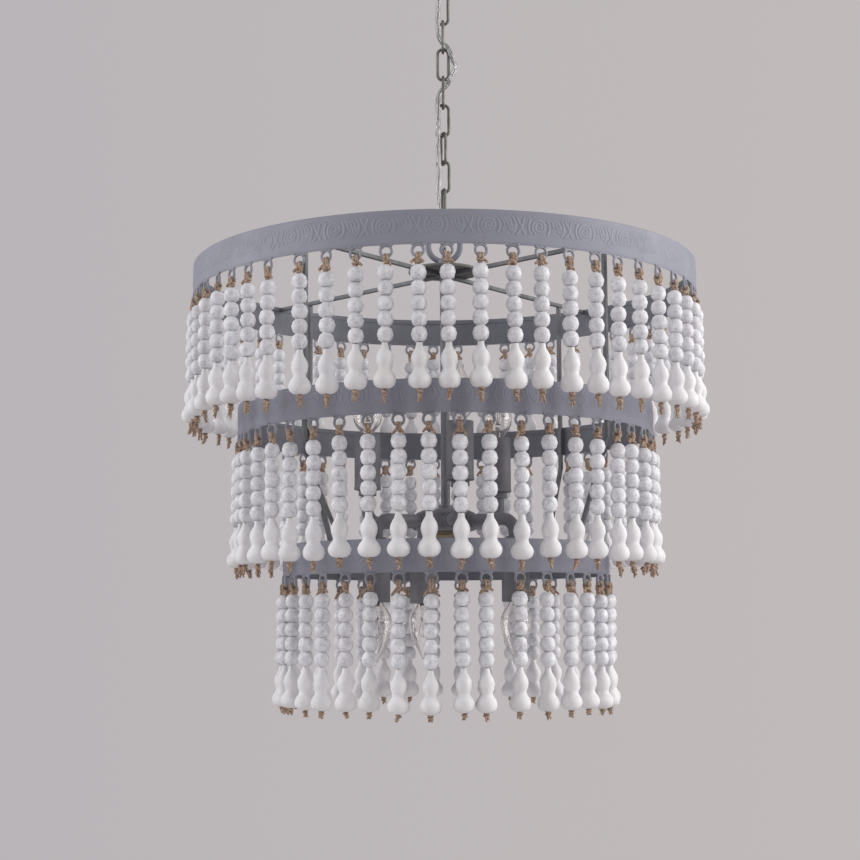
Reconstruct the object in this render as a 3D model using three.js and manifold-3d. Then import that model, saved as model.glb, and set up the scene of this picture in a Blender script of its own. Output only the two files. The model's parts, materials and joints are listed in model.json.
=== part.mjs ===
// Three-tier beaded chandelier with six candle lamps, hung on a chain of nine links.
// Millimetres, +Z up. The origin is the centre of the mounting strap's top face, on the ceiling.
// Azimuths are degrees about +Z, counted from the front, -Y, towards +X.

import * as THREE from 'three';
import { mergeVertices } from 'three/addons/utils/BufferGeometryUtils.js';
import Module from 'manifold-3d';

const wasm = await Module();
wasm.setup();

// Clearances
const SEAT_GAP = 0.3;
const CORD_GAP = 0.8;
const CUT_OVERRUN = 2;

// Ceiling canopy, its strap and its screws
const CANOPY_RADIUS = 62.5;
const CANOPY_DEPTH = 28;
const CANOPY_WALL = 2;
const CANOPY_CORNER = 16;
const STRAP_LENGTH = 104;
const STRAP_WIDTH = 18;
const STRAP_THICKNESS = 3;
const BOSS_HEIGHT = 12;
const BOSS_WALL = 3.5;
const BOSS_ROOF = 2;
const SCREW_SPACING = 72;
const SCREW_RADIUS = 2;
const SCREW_HEAD_RADIUS = 4;
const SCREW_HEAD_HEIGHT = 2.5;

// Loops that the chain hangs on
const LOOP_WIRE = 6;
const CANOPY_LOOP_WIDTH = 30;
const CANOPY_LOOP_HEIGHT = 33;
const HANG_LOOP_WIDTH = 38.3;
const HANG_LOOP_HEIGHT = 52.4;
const NIPPLE_RADIUS = 7;
const FLANGE_RADIUS = 10;
const FLANGE_HEIGHT = 3;
const COLLAR_RADIUS = 8;
const COLLAR_HEIGHT = 5.8;

// Chain
const LINK_COUNT = 9;
const LINK_LENGTH = 35.8;
const LINK_WIDTH = 14.3;
const LINK_WIRE = 3;

// Supply cord, its route chosen by hand from the ceiling fitting to the lamp stem
const CORD_RADIUS = 2.5;
const CORD_STEPS = 60;
const CORD_ROUTE = [
  [0, 0, -6],
  [0, 0, -20],
  [0, 0, -35],
  [-1.9, -1, -41],
  [-4.6, -3.2, -47],
  [-5.2, -6, -55],
  [-5.2, -6.2, -62],
  [-5.2, -5.2, -72],
  [-4.8, -5, -86],
  [-4.6, -5, -100],
  [-5, -4.9, -112],
  [-5.6, -3.4, -121],
  [-4.5, -1, -128],
  [0, 0, -134.5],
  [7.5, 0, -139.5],
  [11.8, 0, -149],
  [13.3, 0, -160.5],
  [11.6, 0, -172],
  [7, 0, -180],
  [0, 0, -183.5],
  [-5.5, -1, -190],
  [-5.8, -4.2, -199],
  [-5.2, -5, -209],
  [-5, -5, -222],
  [-5.6, -5.2, -240],
  [-5, -5.1, -258],
  [-4.8, -5, -276],
  [-5.2, -5.2, -292],
  [-5.2, -5.8, -306],
  [-5.2, -6.1, -316],
  [-5, -5, -326],
  [-3.2, -2.6, -335],
  [-0.8, -0.6, -344],
  [0, 0, -352],
  [0, 0, -365],
];

// Ring bands, with the eyelets welded under their lower edges
const BAND_HEIGHT = 30;
const BAND_THICKNESS = 2;
const LOWER_RING_RADIUS = 160;
const TIER_STEP = 45;
const MIDDLE_RING_RADIUS = LOWER_RING_RADIUS + TIER_STEP;
const UPPER_RING_RADIUS = MIDDLE_RING_RADIUS + TIER_STEP;
const UPPER_TO_MIDDLE_RING = 138;
const MIDDLE_TO_LOWER_RING = 136;
const EYELET_WIDTH = 12.7;
const EYELET_FOOT_WIDTH = 7;
const EYELET_DROP = 11.8;

// Hub disc, cross arms and drop bars
const HUB_RADIUS = 36;
const HUB_THICKNESS = 3;
const BAR_SIZE = 4;
const ARM_INNER_RADIUS = 8;
const BAR_BEND_DEPTH_BELOW_BAND = 14;
const BAR_FOOT_HEIGHT_ABOVE_BAND = 1.5;
const BAR_FOOT_END_HEIGHT = 4;
const BARS = [
  { place: 'front_right', azimuth: 46.5, footTurn: 5 },
  { place: 'back_right', azimuth: 140.5, footTurn: -4.5 },
  { place: 'back_left', azimuth: 226.5, footTurn: -3 },
  { place: 'front_left', azimuth: 320.5, footTurn: -4 },
];

// Bead strands: the drop counts from the band's lower edge to the first bead's centre
const BEAD_RADIUS = 7;
const BEAD_PINCH_RADIUS = 2.6;
const BEAD_COUNT = 5;
const KNOT_RADIUS = 2.5;
const KNOT_HEIGHT = 3.6;
const GOURD_GAP = 7.2;
const GOURD_LENGTH = 39;
const GOURD_NECK_RADIUS = 3.1;
const GOURD_SHOULDER_RADIUS = 7.8;
const GOURD_WAIST_RADIUS = 5.7;
const GOURD_BELLY_RADIUS = 9.75;
const GOURD_SHOULDER_SHARE = 0.31;
const GOURD_WAIST_SHARE = 0.56;
const GOURD_BELLY_SHARE = 0.78;
const TAIL_LENGTH = 8.6;
const STRAND_SIDES = 3;
const QUADRANTS = ['front_right', 'back_right', 'back_left', 'front_left'];
const BEAD_PITCH = 13.2;
const MIDDLE_BEAD_PITCH = 13.8;
const UPPER_STRAND_DROP = 24.6;
const MIDDLE_STRAND_DROP = 29.8;
const LOWER_STRAND_DROP = 25;
const UPPER_STRANDS = { perQuadrant: 14, phase: 0, drop: UPPER_STRAND_DROP, pitch: BEAD_PITCH };
const MIDDLE_STRANDS = { perQuadrant: 12, phase: 3.2, drop: MIDDLE_STRAND_DROP, pitch: MIDDLE_BEAD_PITCH };
const LOWER_STRANDS = { perQuadrant: 9, phase: 4.1, drop: LOWER_STRAND_DROP, pitch: BEAD_PITCH };

// Lamp cluster: the drop counts from the hub disc's underside to the arms' centre line
const LAMP_DROP = 250;
const STEM_RADIUS = 4.5;
const LAMP_HUB_RADIUS = 30;
const LAMP_HUB_HEIGHT_ABOVE_ARMS = 12;
const LAMP_HUB_DEPTH_BELOW_ARMS = 11;
const LAMP_HUB_WALL_HALF_HEIGHT = 8;
const LAMP_HUB_SHOULDER_RADIUS = 22;
const LAMP_CAP_RADIUS = 21;
const LAMP_CAP_HEIGHT = 4;
const CORD_POCKET_DEPTH = 8;
const ARM_REACH = 82;
const ARM_TUBE_RADIUS = 6;
const ARM_ELBOW_RADIUS = 14;
const UP_ARM_NECK = 19.5;
const DOWN_ARM_NECK = 9;
const ARM_STEPS = 8;
const SLEEVE_RADIUS = 13.5;
const SLEEVE_LENGTH = 56;
const SOCKET_RADIUS = 8;
const SOCKET_DEPTH = 24;
const LAMPS = [
  { place: 'up_front', azimuth: 9, up: true },
  { place: 'up_back_right', azimuth: 138, up: true },
  { place: 'up_left', azimuth: 252.5, up: true },
  { place: 'down_front_right', azimuth: 53, up: false },
  { place: 'down_back', azimuth: 196.5, up: false },
  { place: 'down_front_left', azimuth: 305.6, up: false },
];

// Candle bulbs: the outline is in shares of the glass's radius and of its height past the sleeve
const BULB_BASE_RADIUS = 6.3;
const BULB_GLASS_RADIUS = 14.8;
const BULB_GLASS_HEIGHT = 57;
const BULB_NECK_HEIGHT = 1.5;
const BULB_OUTLINE_SHARES = [
  [0.72, 0.12],
  [1, 0.31],
  [0.9, 0.5],
  [0.52, 0.74],
  [0.2, 0.9],
];

// Sides of the round pieces
const CANOPY_SIDES = 18;
const CANOPY_CORNER_STEPS = 2;
const DISC_SIDES = 20;
const HUB_SIDES = 16;
const TURNED_SIDES = 10;
const SMALL_SIDES = 8;
const TUBE_SIDES = 6;
const LINK_BENDS = 8;
const LINK_WIRE_SIDES = 6;
const LOOP_BENDS = 12;

// Materials, with the colours given as sRGB shares
function finish(red, green, blue, roughness, metalness) {
  const color = new THREE.Color().setRGB(red, green, blue, THREE.SRGBColorSpace);
  return new THREE.MeshStandardMaterial({ color, roughness, metalness });
}

const zincSteel = finish(0.55, 0.55, 0.58, 0.5, 0.9);
const chainSteel = finish(0.5, 0.48, 0.46, 0.4, 0.9);
const darkSteel = finish(0.3, 0.3, 0.33, 0.5, 0.8);
const crackledBead = finish(0.84, 0.83, 0.84, 0.35, 0);
const clearPlastic = finish(0.85, 0.86, 0.86, 0.15, 0);
const bulbGlass = finish(0.8, 0.72, 0.66, 0.05, 0);

// Heights from the ceiling down
const nippleBore = CORD_RADIUS + CORD_GAP;
const canopyLoopTop = -(CANOPY_DEPTH + SEAT_GAP);
const canopyLoopBottom = canopyLoopTop - CANOPY_LOOP_HEIGHT;
const linkPitch = LINK_LENGTH - 2 * LINK_WIRE - SEAT_GAP;
const firstLinkCentre = canopyLoopBottom + LOOP_WIRE + SEAT_GAP + LINK_WIRE - LINK_LENGTH / 2;
const lastLinkCentre = firstLinkCentre - (LINK_COUNT - 1) * linkPitch;
const hangLoopTop = lastLinkCentre - LINK_LENGTH / 2 + LINK_WIRE + SEAT_GAP + LOOP_WIRE;
const hangLoopBottom = hangLoopTop - HANG_LOOP_HEIGHT;
const hubTop = hangLoopBottom - COLLAR_HEIGHT - SEAT_GAP;
const hubUnderside = hubTop - HUB_THICKNESS;
const upperRingBottom = hubUnderside - BAND_HEIGHT;
const middleRingBottom = upperRingBottom - UPPER_TO_MIDDLE_RING;
const lowerRingBottom = middleRingBottom - MIDDLE_TO_LOWER_RING;
const armLevel = hubUnderside - LAMP_DROP;
const lampHubTop = armLevel + LAMP_HUB_HEIGHT_ABOVE_ARMS;

// Turns an angle in degrees into radians
function radians(degrees) {
  return THREE.MathUtils.degToRad(degrees);
}

// Gives a copy of a geometry with shared corners and no flat triangles
function cleaned(geometry) {
  const bare = new THREE.BufferGeometry();
  bare.setAttribute('position', geometry.getAttribute('position').clone());
  if (geometry.index) {
    bare.setIndex(geometry.index.clone());
  }
  const merged = mergeVertices(bare, 1e-3);
  const kept = [];
  for (let start = 0; start < merged.index.count; start += 3) {
    const corners = [0, 1, 2].map((offset) => merged.index.getX(start + offset));
    if (new Set(corners).size === corners.length) {
      kept.push(...corners);
    }
  }
  merged.setIndex(kept);
  merged.computeVertexNormals();
  return merged;
}

// Makes a solid for joining and cutting
function solidOf(geometry) {
  const clean = cleaned(geometry);
  const vertProperties = new Float32Array(clean.getAttribute('position').array);
  const triVerts = new Uint32Array(clean.index.array);
  return new wasm.Manifold(new wasm.Mesh({ numProp: 3, vertProperties, triVerts }));
}

// Turns a joined or cut solid back into a geometry
function geometryOf(solid) {
  const mesh = solid.getMesh();
  const geometry = new THREE.BufferGeometry();
  geometry.setAttribute('position', new THREE.BufferAttribute(mesh.vertProperties, mesh.numProp));
  geometry.setIndex(new THREE.BufferAttribute(mesh.triVerts, 1));
  return geometry;
}

// Turns an outline of radius and height round the Z axis
function turned(outline, sides) {
  const points = outline.map(([radius, height]) => new THREE.Vector2(radius, height));
  return new THREE.LatheGeometry(points, sides).rotateX(Math.PI / 2);
}

// Makes an upright cylinder between two heights
function upright(radius, bottom, top, sides) {
  const outline = [
    [0, bottom],
    [radius, bottom],
    [radius, top],
    [0, top],
  ];
  return turned(outline, sides);
}

// Makes an oblong ring of round wire that stands in the XZ plane
function oblongRing(width, height, wire, bends, wireSides) {
  const bendRadius = (width - wire) / 2 / Math.cos(Math.PI / bends);
  const ring = new THREE.TorusGeometry(bendRadius, wire / 2, wireSides, bends);
  ring.rotateZ(Math.PI / bends);
  const stretch = (height - width) / 2;
  const position = ring.getAttribute('position');
  for (let index = 0; index < position.count; index += 1) {
    position.setY(index, position.getY(index) + Math.sign(position.getY(index)) * stretch);
  }
  return ring.rotateX(Math.PI / 2);
}

// Collects triangles into one closed body
class SkinBuilder {
  constructor() {
    this.places = [];
    this.triangles = [];
  }

  corner(azimuth, radius, height) {
    this.places.push(radius * Math.sin(azimuth), -radius * Math.cos(azimuth), height);
    return this.places.length / 3 - 1;
  }

  point(place) {
    this.places.push(place.x, place.y, place.z);
    return this.places.length / 3 - 1;
  }

  triangle(a, b, c) {
    this.triangles.push(a, b, c);
  }

  quad(a, b, c, d) {
    this.triangle(a, b, c);
    this.triangle(a, c, d);
  }

  geometry() {
    const geometry = new THREE.BufferGeometry();
    geometry.setAttribute('position', new THREE.Float32BufferAttribute(this.places, 3));
    geometry.setIndex(this.triangles);
    return geometry;
  }
}

const chandelier = new THREE.Group();

// Adds one named piece
function addPiece(name, geometry, material, parent = chandelier) {
  const mesh = new THREE.Mesh(cleaned(geometry), material.clone());
  mesh.name = name;
  parent.add(mesh);
  return mesh;
}

// Ceiling canopy
function canopyArc(radius) {
  const arc = [];
  for (let step = 0; step <= CANOPY_CORNER_STEPS; step += 1) {
    const angle = (Math.PI / 2) * (step / CANOPY_CORNER_STEPS);
    arc.push([
      CANOPY_RADIUS - CANOPY_CORNER + radius * Math.sin(angle),
      CANOPY_CORNER - CANOPY_DEPTH - radius * Math.cos(angle),
    ]);
  }
  return arc;
}

function screwHole(side) {
  const hole = upright(SCREW_RADIUS + SEAT_GAP, -CANOPY_DEPTH - CUT_OVERRUN, CUT_OVERRUN, SMALL_SIDES);
  return solidOf(hole.translate((side * SCREW_SPACING) / 2, 0, 0));
}

function makeCanopy() {
  const hole = NIPPLE_RADIUS + SEAT_GAP;
  const outline = [
    [hole, -CANOPY_DEPTH],
    ...canopyArc(CANOPY_CORNER),
    [CANOPY_RADIUS, 0],
    [CANOPY_RADIUS - CANOPY_WALL, 0],
    ...canopyArc(CANOPY_CORNER - CANOPY_WALL).reverse(),
    [hole, CANOPY_WALL - CANOPY_DEPTH],
    [hole, -CANOPY_DEPTH],
  ];
  const shell = solidOf(turned(outline, CANOPY_SIDES));
  addPiece('canopy', geometryOf(shell.subtract(screwHole(-1)).subtract(screwHole(1))), zincSteel);
}

// Mounting strap, with the threaded boss that the loop's nipple screws into
const pocketRoof = -(STRAP_THICKNESS + BOSS_ROOF);
const bossBottom = -(STRAP_THICKNESS + BOSS_HEIGHT);

function makeStrap() {
  const plate = new THREE.BoxGeometry(STRAP_LENGTH, STRAP_WIDTH, STRAP_THICKNESS);
  plate.translate(0, 0, -STRAP_THICKNESS / 2);
  const pocketRadius = NIPPLE_RADIUS + SEAT_GAP;
  const boss = upright(pocketRadius + BOSS_WALL, bossBottom, pocketRoof / 2, DISC_SIDES);
  const pocket = upright(pocketRadius, bossBottom - CUT_OVERRUN, pocketRoof, HUB_SIDES);
  const strap = solidOf(plate).add(solidOf(boss)).subtract(solidOf(pocket));
  addPiece('mounting_strap', geometryOf(strap.subtract(screwHole(-1)).subtract(screwHole(1))), zincSteel);
}

function makeScrews() {
  const headTop = -CANOPY_DEPTH - SEAT_GAP;
  const outline = [
    [0, headTop - SCREW_HEAD_HEIGHT],
    [SCREW_HEAD_RADIUS, headTop - SCREW_HEAD_HEIGHT],
    [SCREW_HEAD_RADIUS, headTop],
    [SCREW_RADIUS, headTop],
    [SCREW_RADIUS, -SEAT_GAP],
    [0, -SEAT_GAP],
  ];
  const left = addPiece('canopy_screw_left', turned(outline, SMALL_SIDES), zincSteel);
  left.position.x = -SCREW_SPACING / 2;
  const right = addPiece('canopy_screw_right', turned(outline, SMALL_SIDES), zincSteel);
  right.position.x = SCREW_SPACING / 2;
}

// Loops, each bored through its foot for the supply cord
function makeCanopyLoop() {
  const centre = (canopyLoopTop + canopyLoopBottom) / 2;
  const ring = oblongRing(CANOPY_LOOP_WIDTH, CANOPY_LOOP_HEIGHT, LOOP_WIRE, LOOP_BENDS, SMALL_SIDES);
  const nippleBottom = canopyLoopTop - LOOP_WIRE + SEAT_GAP;
  const nipple = upright(NIPPLE_RADIUS, nippleBottom, pocketRoof - SEAT_GAP, HUB_SIDES);
  const flange = upright(FLANGE_RADIUS, canopyLoopTop - FLANGE_HEIGHT, canopyLoopTop, HUB_SIDES);
  const bore = upright(nippleBore, nippleBottom - LOOP_WIRE, CUT_OVERRUN, SMALL_SIDES);
  const loop = solidOf(ring.translate(0, 0, centre)).add(solidOf(nipple)).add(solidOf(flange));
  addPiece('canopy_loop', geometryOf(loop.subtract(solidOf(bore))), chainSteel);
}

function makeHangLoop() {
  const centre = (hangLoopTop + hangLoopBottom) / 2;
  const ring = oblongRing(HANG_LOOP_WIDTH, HANG_LOOP_HEIGHT, LOOP_WIRE, LOOP_BENDS, SMALL_SIDES);
  const collarTop = hangLoopBottom + LOOP_WIRE;
  const collar = upright(COLLAR_RADIUS, hubTop + SEAT_GAP, collarTop, HUB_SIDES);
  const bore = upright(nippleBore, hubTop - CUT_OVERRUN, collarTop + LOOP_WIRE, SMALL_SIDES);
  const loop = solidOf(ring.translate(0, 0, centre)).add(solidOf(collar)).subtract(solidOf(bore));
  addPiece('hang_loop', geometryOf(loop), chainSteel);
}

// Chain: the first link lies in the YZ plane, and each link is a quarter turn from the last
function makeChain() {
  for (let index = 0; index < LINK_COUNT; index += 1) {
    const link = oblongRing(LINK_WIDTH, LINK_LENGTH, LINK_WIRE, LINK_BENDS, LINK_WIRE_SIDES);
    const mesh = addPiece(`chain_link_${index + 1}`, link, chainSteel);
    mesh.position.z = firstLinkCentre - index * linkPitch;
    mesh.rotation.z = index % 2 === 0 ? Math.PI / 2 : 0;
  }
}

// Supply cord
function makeCord() {
  const section = new THREE.Shape();
  section.absarc(0, 0, CORD_RADIUS, 0, 2 * Math.PI);
  const places = CORD_ROUTE.map((place) => new THREE.Vector3(...place));
  const entry = places[places.length - 1];
  const end = new THREE.Vector3(0, 0, lampHubTop - CORD_POCKET_DEPTH + CORD_GAP);
  const route = new THREE.CatmullRomCurve3([...places, entry.clone().lerp(end, 1 / 2), end]);
  const settings = { steps: CORD_STEPS, curveSegments: SMALL_SIDES / 2, extrudePath: route };
  addPiece('supply_cord', new THREE.ExtrudeGeometry(section, settings), clearPlastic);
}

// Hub disc under the hang loop
function makeHubDisc() {
  const outline = [
    [nippleBore, hubUnderside],
    [HUB_RADIUS, hubUnderside],
    [HUB_RADIUS, hubTop],
    [nippleBore, hubTop],
    [nippleBore, hubUnderside],
  ];
  addPiece('hub_disc', turned(outline, DISC_SIDES), darkSteel);
}

// Reach of a bar that is welded inside a ring band, whose faces are flat between its eyelets
function weldReach(radius, strands) {
  const count = strands.perQuadrant * QUADRANTS.length;
  return (radius - BAND_THICKNESS) * Math.cos(Math.PI / count) - SEAT_GAP;
}

// Cross arms from the hub to the upper ring
const crossArmTop = hubUnderside - SEAT_GAP;
const crossArmUnderside = crossArmTop - BAR_SIZE;

function makeCrossArms() {
  const outerEnd = weldReach(UPPER_RING_RADIUS, UPPER_STRANDS);
  const length = outerEnd - ARM_INNER_RADIUS;
  for (const { place, azimuth } of BARS) {
    const bar = new THREE.BoxGeometry(BAR_SIZE, length, BAR_SIZE);
    bar.translate(0, -(ARM_INNER_RADIUS + length / 2), crossArmTop - BAR_SIZE / 2);
    addPiece(`cross_arm_${place}`, bar, zincSteel).rotation.z = radians(azimuth);
  }
}

// Drop bars, bent in from the middle ring's inside to the lower ring's inside
function makeDropBars() {
  const upperPlace = weldReach(MIDDLE_RING_RADIUS, MIDDLE_STRANDS) - BAR_SIZE / 2;
  const lowerPlace = weldReach(LOWER_RING_RADIUS, LOWER_STRANDS) - BAR_SIZE / 2;
  const bendHeight = middleRingBottom - BAR_BEND_DEPTH_BELOW_BAND;
  const footTop = lowerRingBottom + BAND_HEIGHT + BAR_FOOT_HEIGHT_ABOVE_BAND;
  const footBottom = lowerRingBottom + BAR_FOOT_END_HEIGHT;
  const spine = [
    [upperPlace, crossArmUnderside - SEAT_GAP],
    [upperPlace, bendHeight],
    [lowerPlace, footTop],
    [lowerPlace, footBottom],
  ];
  const outside = spine.map(([radius, height]) => new THREE.Vector2(radius + BAR_SIZE / 2, height));
  const inside = spine.map(([radius, height]) => new THREE.Vector2(radius - BAR_SIZE / 2, height));
  const outline = new THREE.Shape([...outside, ...inside.reverse()]);
  const outward = new THREE.Vector3(0, -1, 0);
  const above = new THREE.Vector3(0, 0, 1);
  const sideways = new THREE.Vector3(-1, 0, 0);
  const standing = new THREE.Matrix4().makeBasis(outward, above, sideways);
  for (const { place, azimuth, footTurn } of BARS) {
    const bar = new THREE.ExtrudeGeometry(outline, { depth: BAR_SIZE, bevelEnabled: false });
    bar.applyMatrix4(standing).translate(BAR_SIZE / 2, 0, 0);
    turnFoot(bar, footTop, radians(footTurn));
    addPiece(`drop_bar_${place}`, bar, zincSteel).rotation.z = radians(azimuth);
  }
}

// Turns the corners at and below a height about the Z axis, so a foot meets its ring squarely
function turnFoot(geometry, footTop, turn) {
  const position = geometry.getAttribute('position');
  const corner = new THREE.Vector3();
  const axis = new THREE.Vector3(0, 0, 1);
  for (let index = 0; index < position.count; index += 1) {
    corner.fromBufferAttribute(position, index);
    if (corner.z < footTop + SEAT_GAP) {
      corner.applyAxisAngle(axis, turn);
      position.setXYZ(index, corner.x, corner.y, corner.z);
    }
  }
}

// Ring band: its lower edge carries one tapering eyelet lug for each strand
function makeRing(name, radius, bottom, strands) {
  const skin = new SkinBuilder();
  const inner = radius - BAND_THICKNESS;
  const top = bottom + BAND_HEIGHT;
  const count = strands.perQuadrant * QUADRANTS.length;
  const halfRoot = Math.asin(EYELET_WIDTH / 2 / radius);
  const halfFoot = Math.asin(EYELET_FOOT_WIDTH / 2 / radius);
  const stations = [];
  for (let index = 0; index < count; index += 1) {
    const azimuth = radians(strands.phase) + (2 * Math.PI * index) / count;
    const pair = (angle, height) => ({
      outer: skin.corner(angle, radius, height),
      inner: skin.corner(angle, inner, height),
    });
    stations.push({
      top: pair(azimuth, top),
      left: pair(azimuth - halfRoot, bottom),
      right: pair(azimuth + halfRoot, bottom),
      leftFoot: pair(azimuth - halfFoot, bottom - EYELET_DROP),
      rightFoot: pair(azimuth + halfFoot, bottom - EYELET_DROP),
    });
  }
  stations.forEach((here, index) => {
    const next = stations[(index + 1) % count];
    skin.quad(here.top.outer, next.top.outer, next.top.inner, here.top.inner);
    skin.triangle(here.top.outer, here.left.outer, here.right.outer);
    skin.triangle(here.top.outer, here.right.outer, next.top.outer);
    skin.triangle(next.top.outer, here.right.outer, next.left.outer);
    skin.triangle(here.top.inner, here.right.inner, here.left.inner);
    skin.triangle(here.top.inner, next.top.inner, here.right.inner);
    skin.triangle(next.top.inner, next.left.inner, here.right.inner);
    skin.quad(here.right.outer, here.right.inner, next.left.inner, next.left.outer);
    skin.quad(here.left.outer, here.leftFoot.outer, here.rightFoot.outer, here.right.outer);
    skin.quad(here.right.inner, here.rightFoot.inner, here.leftFoot.inner, here.left.inner);
    skin.quad(here.left.inner, here.leftFoot.inner, here.leftFoot.outer, here.left.outer);
    skin.quad(here.right.outer, here.rightFoot.outer, here.rightFoot.inner, here.right.inner);
    skin.quad(here.leftFoot.outer, here.leftFoot.inner, here.rightFoot.inner, here.rightFoot.outer);
  });
  addPiece(name, skin.geometry(), zincSteel);
}

// Outline of one strand: knot, five beads, gourd, with each height counted down from the band
function strandOutline({ drop, pitch }) {
  const knotTop = EYELET_DROP + SEAT_GAP;
  const outline = [
    [KNOT_RADIUS, knotTop],
    [KNOT_RADIUS, knotTop + KNOT_HEIGHT],
  ];
  for (let bead = 0; bead < BEAD_COUNT; bead += 1) {
    outline.push([BEAD_RADIUS, drop + bead * pitch]);
    if (bead < BEAD_COUNT - 1) {
      outline.push([BEAD_PINCH_RADIUS, drop + (bead + 1 / 2) * pitch]);
    }
  }
  const gourdTop = drop + (BEAD_COUNT - 1) * pitch + GOURD_GAP;
  outline.push([GOURD_NECK_RADIUS, gourdTop]);
  outline.push([GOURD_SHOULDER_RADIUS, gourdTop + GOURD_LENGTH * GOURD_SHOULDER_SHARE]);
  outline.push([GOURD_WAIST_RADIUS, gourdTop + GOURD_LENGTH * GOURD_WAIST_SHARE]);
  outline.push([GOURD_BELLY_RADIUS, gourdTop + GOURD_LENGTH * GOURD_BELLY_SHARE]);
  return { outline, tail: gourdTop + GOURD_LENGTH + TAIL_LENGTH };
}

// Adds one strand's skin, open at the top knot on the sides where a lacing joins it
function addStrand(skin, azimuth, radius, bottom, shape, laced) {
  const centre = new THREE.Vector3(radius * Math.sin(azimuth), -radius * Math.cos(azimuth), bottom);
  const outward = new THREE.Vector3(Math.sin(azimuth), -Math.cos(azimuth), 0);
  const along = new THREE.Vector3(Math.cos(azimuth), Math.sin(azimuth), 0);
  const rings = shape.outline.map(([size, height]) => {
    const ring = [];
    for (let side = 0; side < STRAND_SIDES; side += 1) {
      const angle = (2 * Math.PI * side) / STRAND_SIDES;
      const place = centre.clone();
      place.addScaledVector(outward, size * Math.cos(angle));
      place.addScaledVector(along, size * Math.sin(angle));
      place.z -= height;
      ring.push(skin.point(place));
    }
    return ring;
  });
  skin.triangle(...rings[0]);
  for (let level = 0; level + 1 < rings.length; level += 1) {
    const upper = rings[level];
    const lower = rings[level + 1];
    for (let side = 0; side < STRAND_SIDES; side += 1) {
      const next = (side + 1) % STRAND_SIDES;
      const open = level === 0 && ((side === 0 && laced.after) || (next === 0 && laced.before));
      if (!open) {
        skin.quad(upper[side], lower[side], lower[next], upper[next]);
      }
    }
  }
  const last = rings[rings.length - 1];
  const tail = skin.point(centre.clone().setZ(bottom - shape.tail));
  for (let side = 0; side < STRAND_SIDES; side += 1) {
    skin.triangle(last[side], tail, last[(side + 1) % STRAND_SIDES]);
  }
  return { upper: rings[0], lower: rings[1] };
}

// Joins two neighbouring knots with a short jute lacing
function addLacing(skin, here, next) {
  const [outer, inner] = here.upper;
  const [outerLow, innerLow] = here.lower;
  const farOuter = next.upper[0];
  const farInner = next.upper[STRAND_SIDES - 1];
  const farOuterLow = next.lower[0];
  const farInnerLow = next.lower[STRAND_SIDES - 1];
  skin.quad(outer, farOuter, farInner, inner);
  skin.quad(outerLow, innerLow, farInnerLow, farOuterLow);
  skin.quad(outer, outerLow, farOuterLow, farOuter);
  skin.quad(farInner, farInnerLow, innerLow, inner);
}

// The strands of one ring, one node for each quarter
function makeStrands(name, radius, bottom, strands) {
  const shape = strandOutline(strands);
  const count = strands.perQuadrant * QUADRANTS.length;
  const line = radius - BAND_THICKNESS / 2;
  QUADRANTS.forEach((place, quadrant) => {
    const skin = new SkinBuilder();
    let before = null;
    for (let index = 0; index < strands.perQuadrant; index += 1) {
      const turn = (quadrant * strands.perQuadrant + index) / count;
      const laced = { before: index > 0, after: index + 1 < strands.perQuadrant };
      const azimuth = radians(strands.phase) + 2 * Math.PI * turn;
      const knot = addStrand(skin, azimuth, line, bottom, shape, laced);
      if (before) {
        addLacing(skin, before, knot);
      }
      before = knot;
    }
    addPiece(`${name}_strands_${place}`, skin.geometry(), crackledBead);
  });
}

// Lamp stem and lamp hub
function makeStem() {
  const top = hubUnderside - SEAT_GAP;
  const outline = [
    [nippleBore, lampHubTop + SEAT_GAP],
    [STEM_RADIUS, lampHubTop + SEAT_GAP],
    [STEM_RADIUS, top],
    [nippleBore, top],
    [nippleBore, lampHubTop + SEAT_GAP],
  ];
  addPiece('lamp_stem', turned(outline, SMALL_SIDES), darkSteel);
}

function makeLampHub() {
  const bottom = armLevel - LAMP_HUB_DEPTH_BELOW_ARMS;
  const outline = [
    [0, bottom - LAMP_CAP_HEIGHT],
    [LAMP_CAP_RADIUS, bottom - LAMP_CAP_HEIGHT],
    [LAMP_CAP_RADIUS, bottom],
    [LAMP_HUB_RADIUS, armLevel - LAMP_HUB_WALL_HALF_HEIGHT],
    [LAMP_HUB_RADIUS, armLevel + LAMP_HUB_WALL_HALF_HEIGHT],
    [LAMP_HUB_SHOULDER_RADIUS, lampHubTop],
    [nippleBore, lampHubTop],
    [nippleBore, lampHubTop - CORD_POCKET_DEPTH],
    [0, lampHubTop - CORD_POCKET_DEPTH],
  ];
  addPiece('lamp_hub', turned(outline, HUB_SIDES), darkSteel);
}

// Centre line of an arm: out from the hub, round the elbow and up its neck
class ArmPath extends THREE.Curve {
  constructor(neck) {
    super();
    this.start = LAMP_HUB_RADIUS + SEAT_GAP;
    this.straight = ARM_REACH - ARM_ELBOW_RADIUS - this.start;
    this.bend = (ARM_ELBOW_RADIUS * Math.PI) / 2;
    this.total = this.straight + this.bend + neck;
  }

  getPoint(share, target = new THREE.Vector3()) {
    const travelled = share * this.total;
    if (travelled <= this.straight) {
      return target.set(0, -(this.start + travelled), 0);
    }
    if (travelled <= this.straight + this.bend) {
      const angle = (travelled - this.straight) / ARM_ELBOW_RADIUS;
      const reach = ARM_REACH - ARM_ELBOW_RADIUS + ARM_ELBOW_RADIUS * Math.sin(angle);
      return target.set(0, -reach, ARM_ELBOW_RADIUS * (1 - Math.cos(angle)));
    }
    const risen = travelled - this.straight - this.bend;
    return target.set(0, -ARM_REACH, ARM_ELBOW_RADIUS + risen);
  }
}

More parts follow.
